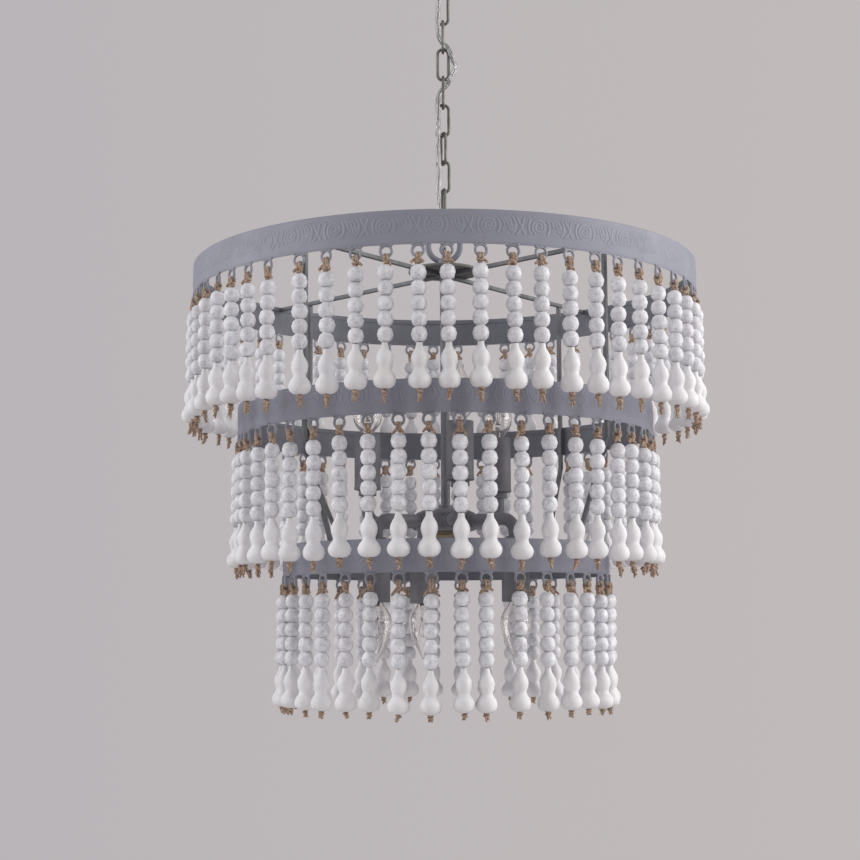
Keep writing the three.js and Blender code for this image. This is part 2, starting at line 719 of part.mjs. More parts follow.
function armGeometry(neck) {
  const section = new THREE.Shape();
  section.absarc(0, 0, ARM_TUBE_RADIUS, 0, 2 * Math.PI);
  const settings = { steps: ARM_STEPS, curveSegments: TUBE_SIDES / 2, extrudePath: new ArmPath(neck) };
  return new THREE.ExtrudeGeometry(section, settings);
}

function sleeveGeometry() {
  const outline = [
    [0, 0],
    [SLEEVE_RADIUS, 0],
    [SLEEVE_RADIUS, SLEEVE_LENGTH],
    [SOCKET_RADIUS, SLEEVE_LENGTH],
    [SOCKET_RADIUS, SLEEVE_LENGTH - SOCKET_DEPTH],
    [0, SLEEVE_LENGTH - SOCKET_DEPTH],
  ];
  return turned(outline, TURNED_SIDES);
}

function bulbGeometry() {
  const foot = SLEEVE_LENGTH - SOCKET_DEPTH + SEAT_GAP;
  const glass = BULB_OUTLINE_SHARES.map(([radiusShare, heightShare]) => [
    BULB_GLASS_RADIUS * radiusShare,
    SLEEVE_LENGTH + BULB_GLASS_HEIGHT * heightShare,
  ]);
  const outline = [
    [0, foot],
    [BULB_BASE_RADIUS, foot],
    [BULB_BASE_RADIUS, SLEEVE_LENGTH + BULB_NECK_HEIGHT],
    ...glass,
    [0, SLEEVE_LENGTH + BULB_GLASS_HEIGHT],
  ];
  return turned(outline, SMALL_SIDES);
}

// One lamp: a group turned to its azimuth, and over for a lamp that points down
function makeLamp({ place, azimuth, up }) {
  const neck = up ? UP_ARM_NECK : DOWN_ARM_NECK;
  const facing = new THREE.Group();
  facing.rotation.z = radians(azimuth);
  facing.position.z = armLevel;
  chandelier.add(facing);
  const lamp = new THREE.Group();
  lamp.rotation.y = up ? 0 : Math.PI;
  facing.add(lamp);
  addPiece(`lamp_arm_${place}`, armGeometry(neck), darkSteel, lamp);
  const candle = new THREE.Group();
  candle.position.set(0, -ARM_REACH, ARM_ELBOW_RADIUS + neck + SEAT_GAP);
  lamp.add(candle);
  addPiece(`lamp_sleeve_${place}`, sleeveGeometry(), darkSteel, candle);
  addPiece(`bulb_${place}`, bulbGeometry(), bulbGlass, candle);
}

makeCanopy();
makeStrap();
makeScrews();
makeCanopyLoop();
makeChain();
makeCord();
makeHangLoop();
makeHubDisc();
makeCrossArms();
makeRing('upper_ring', UPPER_RING_RADIUS, upperRingBottom, UPPER_STRANDS);
makeRing('middle_ring', MIDDLE_RING_RADIUS, middleRingBottom, MIDDLE_STRANDS);
makeRing('lower_ring', LOWER_RING_RADIUS, lowerRingBottom, LOWER_STRANDS);
makeDropBars();
makeStrands('upper', UPPER_RING_RADIUS, upperRingBottom, UPPER_STRANDS);
makeStrands('middle', MIDDLE_RING_RADIUS, middleRingBottom, MIDDLE_STRANDS);
makeStrands('lower', LOWER_RING_RADIUS, lowerRingBottom, LOWER_STRANDS);
makeStem();
makeLampHub();
LAMPS.forEach(makeLamp);

export default chandelier;
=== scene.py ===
import json
import math
import random
from contextlib import contextmanager

import bmesh
import bpy
import numpy as np
from bpy.props import FloatProperty, FloatVectorProperty, IntProperty, PointerProperty
from mathutils import Matrix, Vector


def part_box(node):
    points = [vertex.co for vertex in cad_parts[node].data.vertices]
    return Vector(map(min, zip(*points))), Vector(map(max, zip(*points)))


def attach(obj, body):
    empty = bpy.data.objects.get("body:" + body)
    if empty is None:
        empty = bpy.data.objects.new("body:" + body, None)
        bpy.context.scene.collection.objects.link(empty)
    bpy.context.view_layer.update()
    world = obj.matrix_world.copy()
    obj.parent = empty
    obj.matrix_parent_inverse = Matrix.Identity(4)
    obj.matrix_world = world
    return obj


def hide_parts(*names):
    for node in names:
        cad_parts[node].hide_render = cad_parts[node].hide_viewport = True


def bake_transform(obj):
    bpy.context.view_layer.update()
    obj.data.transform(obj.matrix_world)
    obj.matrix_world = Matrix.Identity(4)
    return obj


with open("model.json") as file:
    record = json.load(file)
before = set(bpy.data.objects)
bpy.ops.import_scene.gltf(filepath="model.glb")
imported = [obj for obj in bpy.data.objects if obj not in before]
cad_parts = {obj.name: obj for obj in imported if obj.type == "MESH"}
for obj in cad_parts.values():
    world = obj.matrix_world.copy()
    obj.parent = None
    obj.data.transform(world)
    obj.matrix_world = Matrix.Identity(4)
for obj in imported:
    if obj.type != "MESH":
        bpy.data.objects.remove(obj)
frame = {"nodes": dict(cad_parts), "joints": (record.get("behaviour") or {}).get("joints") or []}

bl_info = {
    "name": "Beaded Chandelier",
    "version": (1, 0, 0),
    "blender": (4, 5, 0),
    "location": "3D View > Sidebar > Chandelier",
    "description": "Dresses the fixed frame of a three-tier beaded chandelier",
    "category": "Add Mesh",
}

MM = 0.001
QUARTERS = ("front_right", "back_right", "back_left", "front_left")
LAMP_PLACES = ("up_front", "up_back_right", "up_left", "down_front_right", "down_back", "down_front_left")
LINK_COUNT = 9

# Photograph's viewpoint
IMAGE_SIZE = 860
FOCAL_PIXELS = 1555
SENSOR_WIDTH = 36
CAMERA_PLACE = (-15.1 * MM, -1535 * MM, -721 * MM)
CAMERA_PITCH = math.radians(90 + 6.92)
CAMERA_ROLL = math.radians(-0.28)

# Smallest radius of a ring that closes on the axis, and the distance at which corners are merged
POLE = 0.01 * MM
MERGE = 0.03 * MM

# Straight runs of a turned outline longer than this get support rings near their ends
LONG_RUN = 4.5 * MM
SUPPORT = 0.35 * MM


def lowest(node):
    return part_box(node)[0].z


def highest(node):
    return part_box(node)[1].z


def reach(node):
    """How far a node's farthest corner stands from the Z axis."""
    return max(math.hypot(v.co.x, v.co.y) for v in frame["nodes"][node].data.vertices)


def centre(node):
    low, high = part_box(node)
    return (low + high) / 2


class Tier:
    """One band with its strands. Its place comes from the frame.

    Lengths are given in millimetres and angles in degrees. The drop runs from the band's lower edge to
    the middle of the first bead, and the pitch from bead to bead. The rosette is the azimuth of one
    motif's middle. The tail scales the length of the jute ends under the gourds, and back is how far
    the rearmost eyelet is moved on round the band.
    """

    def __init__(self, name, per_quarter, first_azimuth, drop, pitch, motifs, rosette, tail, back):
        self.name = name
        self.per_quarter = per_quarter
        self.count = per_quarter * len(QUARTERS)
        self.first_azimuth = math.radians(first_azimuth)
        self.drop = drop * MM
        self.pitch = pitch * MM
        self.motifs = motifs
        self.rosette = math.radians(rosette)
        self.tail = tail
        self.back = math.radians(back)
        self.node = f"{name}_ring"
        self.radius = reach(self.node)
        self.top = highest(self.node)


TIERS = (
    Tier("upper", per_quarter=14, first_azimuth=0, drop=24.6, pitch=13.2, motifs=35, rosette=-2.1,
         tail=1.25, back=2.4),
    Tier("middle", per_quarter=12, first_azimuth=3.2, drop=25.8, pitch=13.5, motifs=28, rosette=3.4,
         tail=1.05, back=0),
    Tier("lower", per_quarter=9, first_azimuth=4.1, drop=24.6, pitch=13.2, motifs=22, rosette=-5.2,
         tail=0.72, back=0),
)


# Settings

class StageSettings(bpy.types.PropertyGroup):
    """Backdrop, floor and lights."""

    wall_left: FloatVectorProperty(name="Wall left", description="Backdrop colour at the left",
                                   subtype="COLOR", size=3, default=(0.49, 0.46, 0.478))
    wall_right: FloatVectorProperty(name="Wall right", description="Backdrop colour at the right",
                                    subtype="COLOR", size=3, default=(0.53, 0.493, 0.493))
    floor_depth: FloatProperty(name="Floor depth", description="Floor below the ceiling", default=2.6,
                               unit="LENGTH")
    floor_radius: FloatProperty(name="Floor radius", description="Reach of the floor", default=9,
                                unit="LENGTH")
    ambient: FloatProperty(name="Ambient", description="Strength of the light from all round", default=0.385)
    key_power: FloatProperty(name="Key", description="Power of the light at the right", default=57,
                             unit="POWER")
    fill_power: FloatProperty(name="Fill", description="Power of the light at the left", default=41,
                              unit="POWER")
    front_power: FloatProperty(name="Front", description="Power of the light beside the camera", default=9,
                               unit="POWER")
    bounce_power: FloatProperty(name="Bounce", description="Power of the light from below", default=10,
                                unit="POWER")


class BandSettings(bpy.types.PropertyGroup):
    """Round bands and their eyelets."""

    height: FloatProperty(name="Height", description="Height of a band", default=30 * MM, unit="LENGTH")
    wall: FloatProperty(name="Wall", description="Thickness of a band", default=2 * MM, unit="LENGTH")
    relief: FloatProperty(name="Relief", description="Height of the pressed scroll", default=0.38 * MM,
                          unit="LENGTH")
    eyelet_width: FloatProperty(name="Eyelet", description="Outer width of an eyelet", default=12.7 * MM,
                                unit="LENGTH")
    eyelet_wire: FloatProperty(name="Eyelet wire", description="Thickness of its wire", default=2.7 * MM,
                               unit="LENGTH")
    zinc: FloatVectorProperty(name="Zinc", description="Colour of the bands", subtype="COLOR", size=3,
                              default=(0.272, 0.276, 0.333))
    # The arms and bars take a darker copy of the bands' zinc paint, darkened as painted shade
    bars: FloatVectorProperty(name="Bars", description="Colour of the arms and bars", subtype="COLOR", size=3,
                              default=(0.126, 0.127, 0.139))


class StrandSettings(bpy.types.PropertyGroup):
    """Beads, gourds and jute."""

    bead: FloatProperty(name="Bead", description="Diameter of a bead", default=14 * MM, unit="LENGTH")
    gourd: FloatProperty(name="Gourd", description="Length of a gourd", default=39 * MM, unit="LENGTH")
    jute: FloatProperty(name="Jute", description="Thickness of the jute", default=2.9 * MM, unit="LENGTH")
    sway: FloatProperty(name="Sway", description="Typical tilt of a strand", default=math.radians(0.45),
                        subtype="ANGLE")
    wash: FloatVectorProperty(name="Whitewash", description="Colour of the beads", subtype="COLOR", size=3,
                              default=(0.865, 0.865, 0.895))
    cream: FloatVectorProperty(name="Cream", description="Colour of the gourds", subtype="COLOR", size=3,
                               default=(0.795, 0.778, 0.80))
    fibre: FloatVectorProperty(name="Fibre", description="Colour of the jute", subtype="COLOR", size=3,
                               default=(0.42, 0.298, 0.222))


class ChainSettings(bpy.types.PropertyGroup):
    """Chain, loops and supply cord."""

    link_wire: FloatProperty(name="Link wire", description="Thickness of a link", default=3 * MM,
                             unit="LENGTH")
    loop_wire: FloatProperty(name="Loop wire", description="Thickness of a loop", default=6 * MM,
                             unit="LENGTH")
    cord: FloatProperty(name="Cord", description="Diameter of the cord", default=5 * MM, unit="LENGTH")
    steel: FloatVectorProperty(name="Steel", description="Colour of the chain", subtype="COLOR", size=3,
                               default=(0.18, 0.178, 0.165))


class LampSettings(bpy.types.PropertyGroup):
    """Lamp hub, arms, sleeves and bulbs."""

    sides: IntProperty(name="Sides", description="Sides of the round pieces", default=56, min=12)
    glass_wall: FloatProperty(name="Glass", description="Thickness of the glass", default=0.6 * MM,
                              unit="LENGTH")
    paint: FloatVectorProperty(name="Paint", description="Colour of arms and sleeves", subtype="COLOR",
                               size=3, default=(0.172, 0.17, 0.188))


class ChandelierSettings(bpy.types.PropertyGroup):
    """All that can be set."""

    stage: PointerProperty(type=StageSettings)
    bands: PointerProperty(type=BandSettings)
    strands: PointerProperty(type=StrandSettings)
    chain: PointerProperty(type=ChainSettings)
    lamps: PointerProperty(type=LampSettings)


def settings():
    return bpy.context.scene.chandelier


# Modelling by hand

def pick(*objects):
    """Selects these objects alone."""
    if bpy.context.object and bpy.context.object.mode != "OBJECT":
        bpy.ops.object.mode_set(mode="OBJECT")
    bpy.ops.object.select_all(action="DESELECT")
    for piece in objects:
        piece.select_set(True)
    if objects:
        bpy.context.view_layer.objects.active = objects[0]


@contextmanager
def editing(piece):
    pick(piece)
    bpy.ops.object.mode_set(mode="EDIT")
    yield
    bpy.ops.object.mode_set(mode="OBJECT")


def added(add, **values):
    """Adds an object with one of Blender's add operators, with nothing else selected."""
    pick()
    add(**values)
    return bpy.context.object


def cleared(piece):
    """The mesh in edit mode, with no face selected."""
    mesh = bmesh.from_edit_mesh(piece.data)
    for face in mesh.faces:
        face.select = False
    return mesh


def select_corners(piece, wanted):
    """Selects the corners, in edit mode, whose places are wanted."""
    mesh = cleared(piece)
    for corner in mesh.verts:
        corner.select = wanted(corner.co)
    mesh.select_flush(True)
    bmesh.update_edit_mesh(piece.data)


def select_edges(piece, wanted):
    """Selects the edges, in edit mode, whose two ends are wanted."""
    mesh = cleared(piece)
    for edge in mesh.edges:
        edge.select = wanted(edge.verts[0].co, edge.verts[1].co)
    bmesh.update_edit_mesh(piece.data)


def tidy_mesh(piece):
    """Merges doubled corners and turns every face outwards."""
    with editing(piece):
        bpy.ops.mesh.select_all(action="SELECT")
        bpy.ops.mesh.remove_doubles(threshold=MERGE)
        bpy.ops.mesh.normals_make_consistent(inside=False)


def settle(piece):
    """Moves the piece's place into its mesh."""
    pick(piece)
    bpy.ops.object.transform_apply(location=True, rotation=True, scale=True)


def supported(outline):
    """Adds a corner near each end of a long straight run, so that smooth shading stays at the corners."""
    full = [outline[0]]
    for (radius, height), (next_radius, next_height) in zip(outline, outline[1:]):
        wider = next_radius - radius
        taller = next_height - height
        span = math.hypot(wider, taller)
        if span > LONG_RUN:
            for share in (SUPPORT / span, 1 - SUPPORT / span):
                full.append((radius + wider * share, height + taller * share))
        full.append((next_radius, next_height))
    return full


def profile(base, *pairs):
    """Pairs of radius and height, given in millimetres, with the heights above a base in metres."""
    return [(radius * MM, base + height * MM) for radius, height in pairs]


def turned(outline, sides):
    """Turns pairs of radius and height round the Z axis."""
    outline = supported(outline)
    radius, height = outline[0]
    radius = max(radius, POLE)
    piece = added(bpy.ops.mesh.primitive_circle_add, vertices=sides, radius=radius, location=(0, 0, height))
    settle(piece)
    with editing(piece):
        bpy.ops.mesh.select_all(action="SELECT")
        for next_radius, next_height in outline[1:]:
            next_radius = max(next_radius, POLE)
            bpy.ops.mesh.extrude_region_move(TRANSFORM_OT_translate={"value": (0, 0, next_height - height)})
            share = next_radius / radius
            bpy.ops.transform.resize(value=(share, share, 1), center_override=(0, 0, next_height))
            radius, height = next_radius, next_height
    tidy_mesh(piece)
    return piece


def arc(radius, height, size, start, stop, steps):
    """Points of a round corner about a centre, its angles counted in degrees from outward, up being 90."""
    angles = [math.radians(start + (stop - start) * step / steps) for step in range(steps + 1)]
    return [(radius + size * math.cos(angle), height + size * math.sin(angle)) for angle in angles]


def smoothed(points, steps):
    """A smooth line through points, with even steps between each two."""
    ends = [points[0] * 2 - points[1], *points, points[-1] * 2 - points[-2]]
    line = []
    for before, here, after, beyond in zip(ends, ends[1:], ends[2:], ends[3:]):
        for step in range(steps):
            share = step / steps
            line.append(0.5 * (2 * here + (after - before) * share
                               + (2 * before - 5 * here + 4 * after - beyond) * share ** 2
                               + (3 * here - before - 3 * after + beyond) * share ** 3))
    return [*line, points[-1]]


def smooth_outline(pairs, steps):
    return [(point.x, point.y) for point in smoothed([Vector(pair) for pair in pairs], steps)]


def wire(lines, radius, sides):
    """Round wire along lines of points. A point may carry its own share of the radius as a fourth number."""
    piece = added(bpy.ops.curve.primitive_bezier_curve_add)
    curve = piece.data
    curve.splines.clear()
    for line in lines:
        spline = curve.splines.new("POLY")
        spline.points.add(len(line) - 1)
        for point, place in zip(spline.points, line):
            point.co = (*place[:3], 1)
            point.radius = place[3] if len(place) > 3 else 1
    curve.dimensions = "3D"
    curve.bevel_depth = radius
    curve.bevel_resolution = (sides - 4) // 2
    curve.use_fill_caps = True
    bpy.ops.object.convert(target="MESH")
    piece = bpy.context.object
    tidy_mesh(piece)
    return piece


def copied(piece, matrix):
    """A copy with its own mesh, moved by a matrix."""
    twin = piece.copy()
    twin.data = piece.data.copy()
    bpy.context.scene.collection.objects.link(twin)
    twin.data.transform(matrix)
    return twin


def tinted(piece, value):
    """Writes one number on all of a piece's corners."""
    mark = piece.data.attributes.new("tint", "FLOAT", "POINT")
    mark.data.foreach_set("value", np.full(len(piece.data.vertices), value, np.float32))
    return piece


def joined(pieces):
    pick(*pieces)
    if len(pieces) > 1:
        bpy.ops.object.join()
    return bpy.context.object


def apply_modifier(piece, kind, **values):
    """Adds a modifier and applies it."""
    pick(piece)
    modifier = piece.modifiers.new(kind.title(), kind)
    for name, value in values.items():
        setattr(modifier, name, value)
    bpy.ops.object.modifier_apply(modifier=modifier.name)


def softened(piece, radius):
    """Rounds the sharp edges."""
    apply_modifier(piece, "BEVEL", width=radius, segments=2, limit_method="ANGLE",
                   angle_limit=math.radians(30))


def copy_of_node(node, edge):
    """A node's own shape with its corners merged, its flat faces joined and its edges rounded."""
    source = frame["nodes"][node]
    piece = bpy.data.objects.new(f"{node}_copy", source.data.copy())
    bpy.context.scene.collection.objects.link(piece)
    piece.data.materials.clear()
    with editing(piece):
        bpy.ops.mesh.select_all(action="SELECT")
        bpy.ops.mesh.remove_doubles(threshold=MERGE)
        bpy.ops.mesh.dissolve_limited(angle_limit=math.radians(2))
        bpy.ops.mesh.normals_make_consistent(inside=False)
    softened(piece, edge)
    return piece


def dressed(piece, name, body, nodes, finish=None, angle=35):
    """Names a finished piece, gives it its finish and its body, and puts it in its nodes' place."""
    piece.name = name
    piece.data.name = name
    pick(piece)
    bpy.ops.object.shade_smooth_by_angle(angle=math.radians(angle))
    if finish:
        piece.data.materials.clear()
        piece.data.materials.append(finish)
    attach(piece, body)
    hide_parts(*nodes)


def scrapped(*pieces):
    for piece in pieces:
        bpy.data.objects.remove(piece)


def facing(azimuth):
    """Turns what is made at the front, towards -Y, to its azimuth."""
    return Matrix.Rotation(azimuth, 4, "Z")


# Materials

# Depth of the grain on metal, how much paler than its colour its light clouds are and the bands' painted
# highlight on the raised scroll, and how strongly clear glass and plastic bend light
GRAIN_DEPTH = 0.05 * MM
PALER = 1.12
CLEAR_IOR = 1.45

# Clouds, patches and cracks on the beads, stains and hairlines on the gourds
WASH_SHADE = (0.76, 0.755, 0.805)
WASH_BLUSH = (0.68, 0.55, 0.56)
CRACK_GREY = (0.38, 0.37, 0.41)
TAN_STAIN = (0.60, 0.48, 0.38)
HAIRLINE_TAN = (0.5, 0.45, 0.42)


class Tree:
    """Adds nodes to a material or a group."""

    def __init__(self, tree):
        self.tree = tree

    def give(self, socket, value):
        """Links a socket to another one, or sets its value."""
        if isinstance(value, bpy.types.NodeSocket):
            self.tree.links.new(value, socket)
        else:
            socket.default_value = value

    def node(self, kind, sockets=None, **values):
        made = self.tree.nodes.new(kind)
        for name, value in values.items():
            setattr(made, name, value)
        for name, value in (sockets or {}).items():
            self.give(made.inputs[name], value)
        return made

    def mixed(self, share, first, second, blend="MIX"):
        """The colour between two colours."""
        sockets = {0: share, 6: first, 7: second}
        return self.node("ShaderNodeMix", sockets, data_type="RGBA", blend_type=blend).outputs[2]

    def ranged(self, value, low, high, new_low, new_high):
        """The value moved from one range to another."""
        sockets = {"Value": value, "From Min": low, "From Max": high, "To Min": new_low, "To Max": new_high}
        return self.node("ShaderNodeMapRange", sockets).outputs["Result"]

    def maths(self, operation, first, second):
        return self.node("ShaderNodeMath", {0: first, 1: second}, operation=operation).outputs[0]

    def noise(self, place, scale, detail, roughness=0.5):
        sockets = {"Vector": place, "Scale": scale, "Detail": detail, "Roughness": roughness}
        return self.node("ShaderNodeTexNoise", sockets)

    def object_place(self):
        return self.node("ShaderNodeTexCoord").outputs["Object"]

    def attribute(self, name):
        return self.node("ShaderNodeAttribute", attribute_name=name).outputs["Fac"]


def effect(nodes, name, output, build, values):
    """Places an effect that materials share, a node group made once, with this material's own values."""
    tree = bpy.data.node_groups.get(name)
    if not tree:
        tree = bpy.data.node_groups.new(name, "ShaderNodeTree")
        for socket in values:
            kind = "NodeSocketVector" if socket == "Place" else "NodeSocketFloat"
            tree.interface.new_socket(socket, in_out="INPUT", socket_type=kind)
        tree.interface.new_socket(output, in_out="OUTPUT", socket_type="NodeSocketFloat")
        inner = Tree(tree)
        entry = inner.node("NodeGroupInput")
        inner.node("NodeGroupOutput", {output: build(inner, entry.outputs)})
    return nodes.node("ShaderNodeGroup", values, node_tree=tree).outputs[0]


def mottle(nodes, place, scale):
    """Soft clouds between 0 and 1."""
    def build(inner, given):
        coarse = inner.noise(given["Place"], given["Scale"], 3)
        fine_scale = inner.maths("MULTIPLY", given["Scale"], 4.3)
        fine = inner.noise(given["Place"], fine_scale, 4)
        share = inner.maths("MULTIPLY", fine.outputs[0], 0.35)
        whole = inner.maths("ADD", inner.maths("MULTIPLY", coarse.outputs[0], 0.65), share)
        return inner.ranged(whole, 0.35, 0.65, 0, 1)
    return effect(nodes, "Mottle", "Cloud", build, {"Place": place, "Scale": scale})


def crackle(nodes, place, scale, wobble, width):
    """Fine cracks: 1 on a crack, 0 between them."""
    def build(inner, given):
        wander = inner.noise(given["Place"], given["Scale"], 2)
        shift = inner.node("ShaderNodeVectorMath", {0: wander.outputs["Color"], 1: (0.5, 0.5, 0.5)},
                           operation="SUBTRACT")
        size = inner.maths("DIVIDE", given["Wobble"], given["Scale"])
        scaled = inner.node("ShaderNodeVectorMath", {0: shift.outputs[0], "Scale": size}, operation="SCALE")
        moved = inner.node("ShaderNodeVectorMath", {0: given["Place"], 1: scaled.outputs[0]}, operation="ADD")
        cells = inner.node("ShaderNodeTexVoronoi", {"Vector": moved.outputs[0], "Scale": given["Scale"]},
                           feature="DISTANCE_TO_EDGE")
        return inner.ranged(cells.outputs["Distance"], 0, given["Width"], 1, 0)
    values = {"Place": place, "Scale": scale, "Wobble": wobble, "Width": width}
    return effect(nodes, "Crackle", "Crack", build, values)


def grain(nodes, place, scale):
    """Fine uneven height."""
    def build(inner, given):
        return inner.noise(given["Place"], given["Scale"], 6, 0.65).outputs[0]
    return effect(nodes, "Grain", "Height", build, {"Place": place, "Scale": scale})


def material(name, build):
    """A material, made once. The build function gets its nodes and its shader."""
    found = bpy.data.materials.get(name)
    if found:
        return found
    made = bpy.data.materials.new(name)
    made.use_nodes = True
    build(Tree(made.node_tree), made.node_tree.nodes["Principled BSDF"])
    return made


def feed(nodes, shader, **sockets):
    """Feeds or sets the shader's sockets, named with underscores for spaces."""
    for name, value in sockets.items():
        nodes.give(shader.inputs[name.replace("_", " ")], value)


def bumped(nodes, height, distance, strength):
    made = nodes.node("ShaderNodeBump", {"Height": height, "Distance": distance, "Strength": strength})
    return made.outputs[0]


def opaque(colour, share=1.0):
    """A share of a colour, with nothing seen through it."""
    return (*[part * share for part in colour], 1)


def worn_metal(name, colour, metallic, roughness, contrast=0.75, grain_size=900):
    """Painted or plated metal, a little cloudy, with a fine grain."""
    def build(nodes, shader):
        place = nodes.object_place()
        cloud = mottle(nodes, place, 55)
        height = grain(nodes, place, grain_size)
        feed(nodes, shader,
             Base_Color=nodes.mixed(cloud, opaque(colour, contrast), opaque(colour, PALER)),
             Roughness=nodes.ranged(cloud, 0, 1, roughness + 0.1, roughness - 0.06),
             Metallic=metallic,
             Normal=bumped(nodes, height, GRAIN_DEPTH, 0.5))
    return material(name, build)


def zinc_band():
    """Pressed zinc: a painted highlight on the raised scroll, painted shade in its grooves and along the top
    edge, and darker painted shade on the inner face.
    """
    colour = settings().bands.zinc
    def build(nodes, shader):
        place = nodes.object_place()
        cloud = mottle(nodes, place, 30)
        fine = grain(nodes, place, 1100)
        # The relief mark becomes painted light: a painted highlight on the raised scroll, painted shade in
        # the grooves and along the top edge
        relief_light = nodes.ranged(nodes.attribute("raised"), TOP_EDGE_SHADE, 1, 0, 1)
        face = nodes.mixed(relief_light, opaque(colour, 0.5), opaque(colour, PALER))
        streaked = nodes.mixed(nodes.ranged(cloud, 0, 1, 0.16, 0), face, opaque(colour, 0.55))
        # Painted shade for the inner face, which the inside mark picks out
        inner_shade = nodes.mixed(cloud, opaque(colour, 0.42), opaque(colour, 0.54))
        feed(nodes, shader,
             Base_Color=nodes.mixed(nodes.attribute("inside"), streaked, inner_shade),
             Roughness=nodes.ranged(cloud, 0, 1, 0.7, 0.58),
             Metallic=0.05,
             Normal=bumped(nodes, fine, GRAIN_DEPTH, 0.4))
    return material("Pressed zinc", build)


def zinc_wire():
    return worn_metal("Eyelet wire", (0.30, 0.30, 0.35), metallic=0.05, roughness=0.55)


def zinc_paint():
    colour = opaque(settings().bands.zinc, 0.8)[:3]
    return worn_metal("Zinc paint", colour, metallic=0.1, roughness=0.55, contrast=0.85)


# The bands' zinc paint on the arms and bars, darkened as painted shade
def shaded_bar_metal():
    return worn_metal("Bar steel", settings().bands.bars, metallic=0.1, roughness=0.55)


def chain_metal():
    return worn_metal("Worn plated steel", settings().chain.steel, metallic=0.6, roughness=0.46,
                      contrast=0.6, grain_size=500)


def canopy_metal():
    return worn_metal("Satin zinc", (0.42, 0.42, 0.44), metallic=0.8, roughness=0.42, contrast=0.85)


def dark_paint():
    return worn_metal("Dark satin paint", settings().lamps.paint, metallic=0.1, roughness=0.55, contrast=0.85)


def disc_paint():
    return worn_metal("Hub disc paint", (0.14, 0.135, 0.132), metallic=0.05, roughness=0.6, contrast=0.9)


def brass_cap():
    return worn_metal("Aged brass", (0.38, 0.31, 0.19), metallic=0.9, roughness=0.38, contrast=0.6)


def plated_cap():
    return worn_metal("Plated screw cap", (0.62, 0.54, 0.40), metallic=1.0, roughness=0.3, contrast=0.8)


def tinned_wire():
    return worn_metal("Tinned wire", (0.56, 0.56, 0.57), metallic=0.3, roughness=0.4, contrast=0.9,
                      grain_size=1500)


def filament_metal():
    return worn_metal("Filament", (0.3, 0.27, 0.25), metallic=1.0, roughness=0.4, contrast=0.6,
                      grain_size=1500)


def toned(nodes, colour):
    """A colour times the bead's own tone."""
    tone = nodes.attribute("tint")
    shade = nodes.node("ShaderNodeCombineColor", {0: tone, 1: tone, 2: tone}).outputs[0]
    return nodes.mixed(1.0, colour, shade, "MULTIPLY")


def whitewash():
    """Whitewashed wood: lilac-grey clouds, fine grey cracks and a few pinkish patches."""
    colour = settings().strands.wash
    def build(nodes, shader):
        place = nodes.object_place()
        cracks = crackle(nodes, place, 360, wobble=1.3, width=0.13)
        hairs = crackle(nodes, place, 820, wobble=1.0, width=0.16)
        cloud = mottle(nodes, place, 210)
        blush = mottle(nodes, place, 75)
        mask = nodes.maths("MULTIPLY", cracks, nodes.ranged(cloud, 0.1, 0.9, 0.78, 0.1))
        fine = nodes.maths("MULTIPLY", hairs, nodes.ranged(cloud, 0.2, 1, 0.5, 0.14))
        lines = nodes.maths("MAXIMUM", mask, fine)
        base = nodes.mixed(cloud, opaque(WASH_SHADE), opaque(colour, 1.03))
        pink = nodes.mixed(nodes.ranged(blush, 0.7, 1.1, 0, 0.45), base, opaque(WASH_BLUSH))
        cracked = nodes.mixed(lines, pink, opaque(CRACK_GREY))
        feed(nodes, shader,
             Base_Color=toned(nodes, cracked),
             Roughness=nodes.ranged(cloud, 0, 1, 0.62, 0.48),
             Normal=bumped(nodes, nodes.maths("SUBTRACT", 1.0, lines), 0.12 * MM, 0.6))
    return material("Whitewashed wood", build)


def cream_wood():
    """Smooth cream-white wood with soft clouds and now and then a tan stain."""
    colour = settings().strands.cream
    def build(nodes, shader):
        place = nodes.object_place()
        cloud = mottle(nodes, place, 90)
        stain = mottle(nodes, place, 34)
        hairs = crackle(nodes, place, 260, wobble=1.2, width=0.03)
        base = nodes.mixed(cloud, opaque(colour, 0.93), opaque(colour, 1.03))
        aged = nodes.mixed(nodes.ranged(stain, 0.85, 1.3, 0, 0.5), base, opaque(TAN_STAIN))
        lined = nodes.mixed(nodes.maths("MULTIPLY", hairs, 0.14), aged, opaque(HAIRLINE_TAN))
        fine = grain(nodes, place, 700)
        feed(nodes, shader,
             Base_Color=toned(nodes, lined),
             Roughness=nodes.ranged(cloud, 0, 1, 0.7, 0.56),
             Normal=bumped(nodes, fine, 0.06 * MM, 0.4))
    return material("Cream wood", build)


def jute_fibre():
    """Twisted natural jute with dark bits."""
    colour = settings().strands.fibre
    def build(nodes, shader):
        place = nodes.object_place()
        fibres = nodes.noise(place, 680, 5, 0.7).outputs[0]
        cloud = mottle(nodes, place, 300)
        share = nodes.ranged(fibres, 0.35, 0.65, 0, 1)
        base = nodes.mixed(share, opaque(colour, 0.34), opaque(colour, 1.62))
        feed(nodes, shader,
             Base_Color=nodes.mixed(nodes.ranged(cloud, 0.7, 1.2, 0, 0.7), base, opaque(colour, 0.3)),
             Roughness=0.95,
             Normal=bumped(nodes, fibres, 0.5 * MM, 0.9))
    return material("Jute", build)


def clear_plastic():
    """Clear sheath with soft glossy clouds."""
    def build(nodes, shader):
        cloud = mottle(nodes, nodes.object_place(), 120)
        feed(nodes, shader,
             Base_Color=nodes.mixed(cloud, (0.88, 0.89, 0.89, 1), (0.97, 0.97, 0.97, 1)),
             Roughness=nodes.ranged(cloud, 0, 1, 0.07, 0.02),
             Transmission_Weight=1,
             IOR=CLEAR_IOR)
    return material("Clear cord", build)


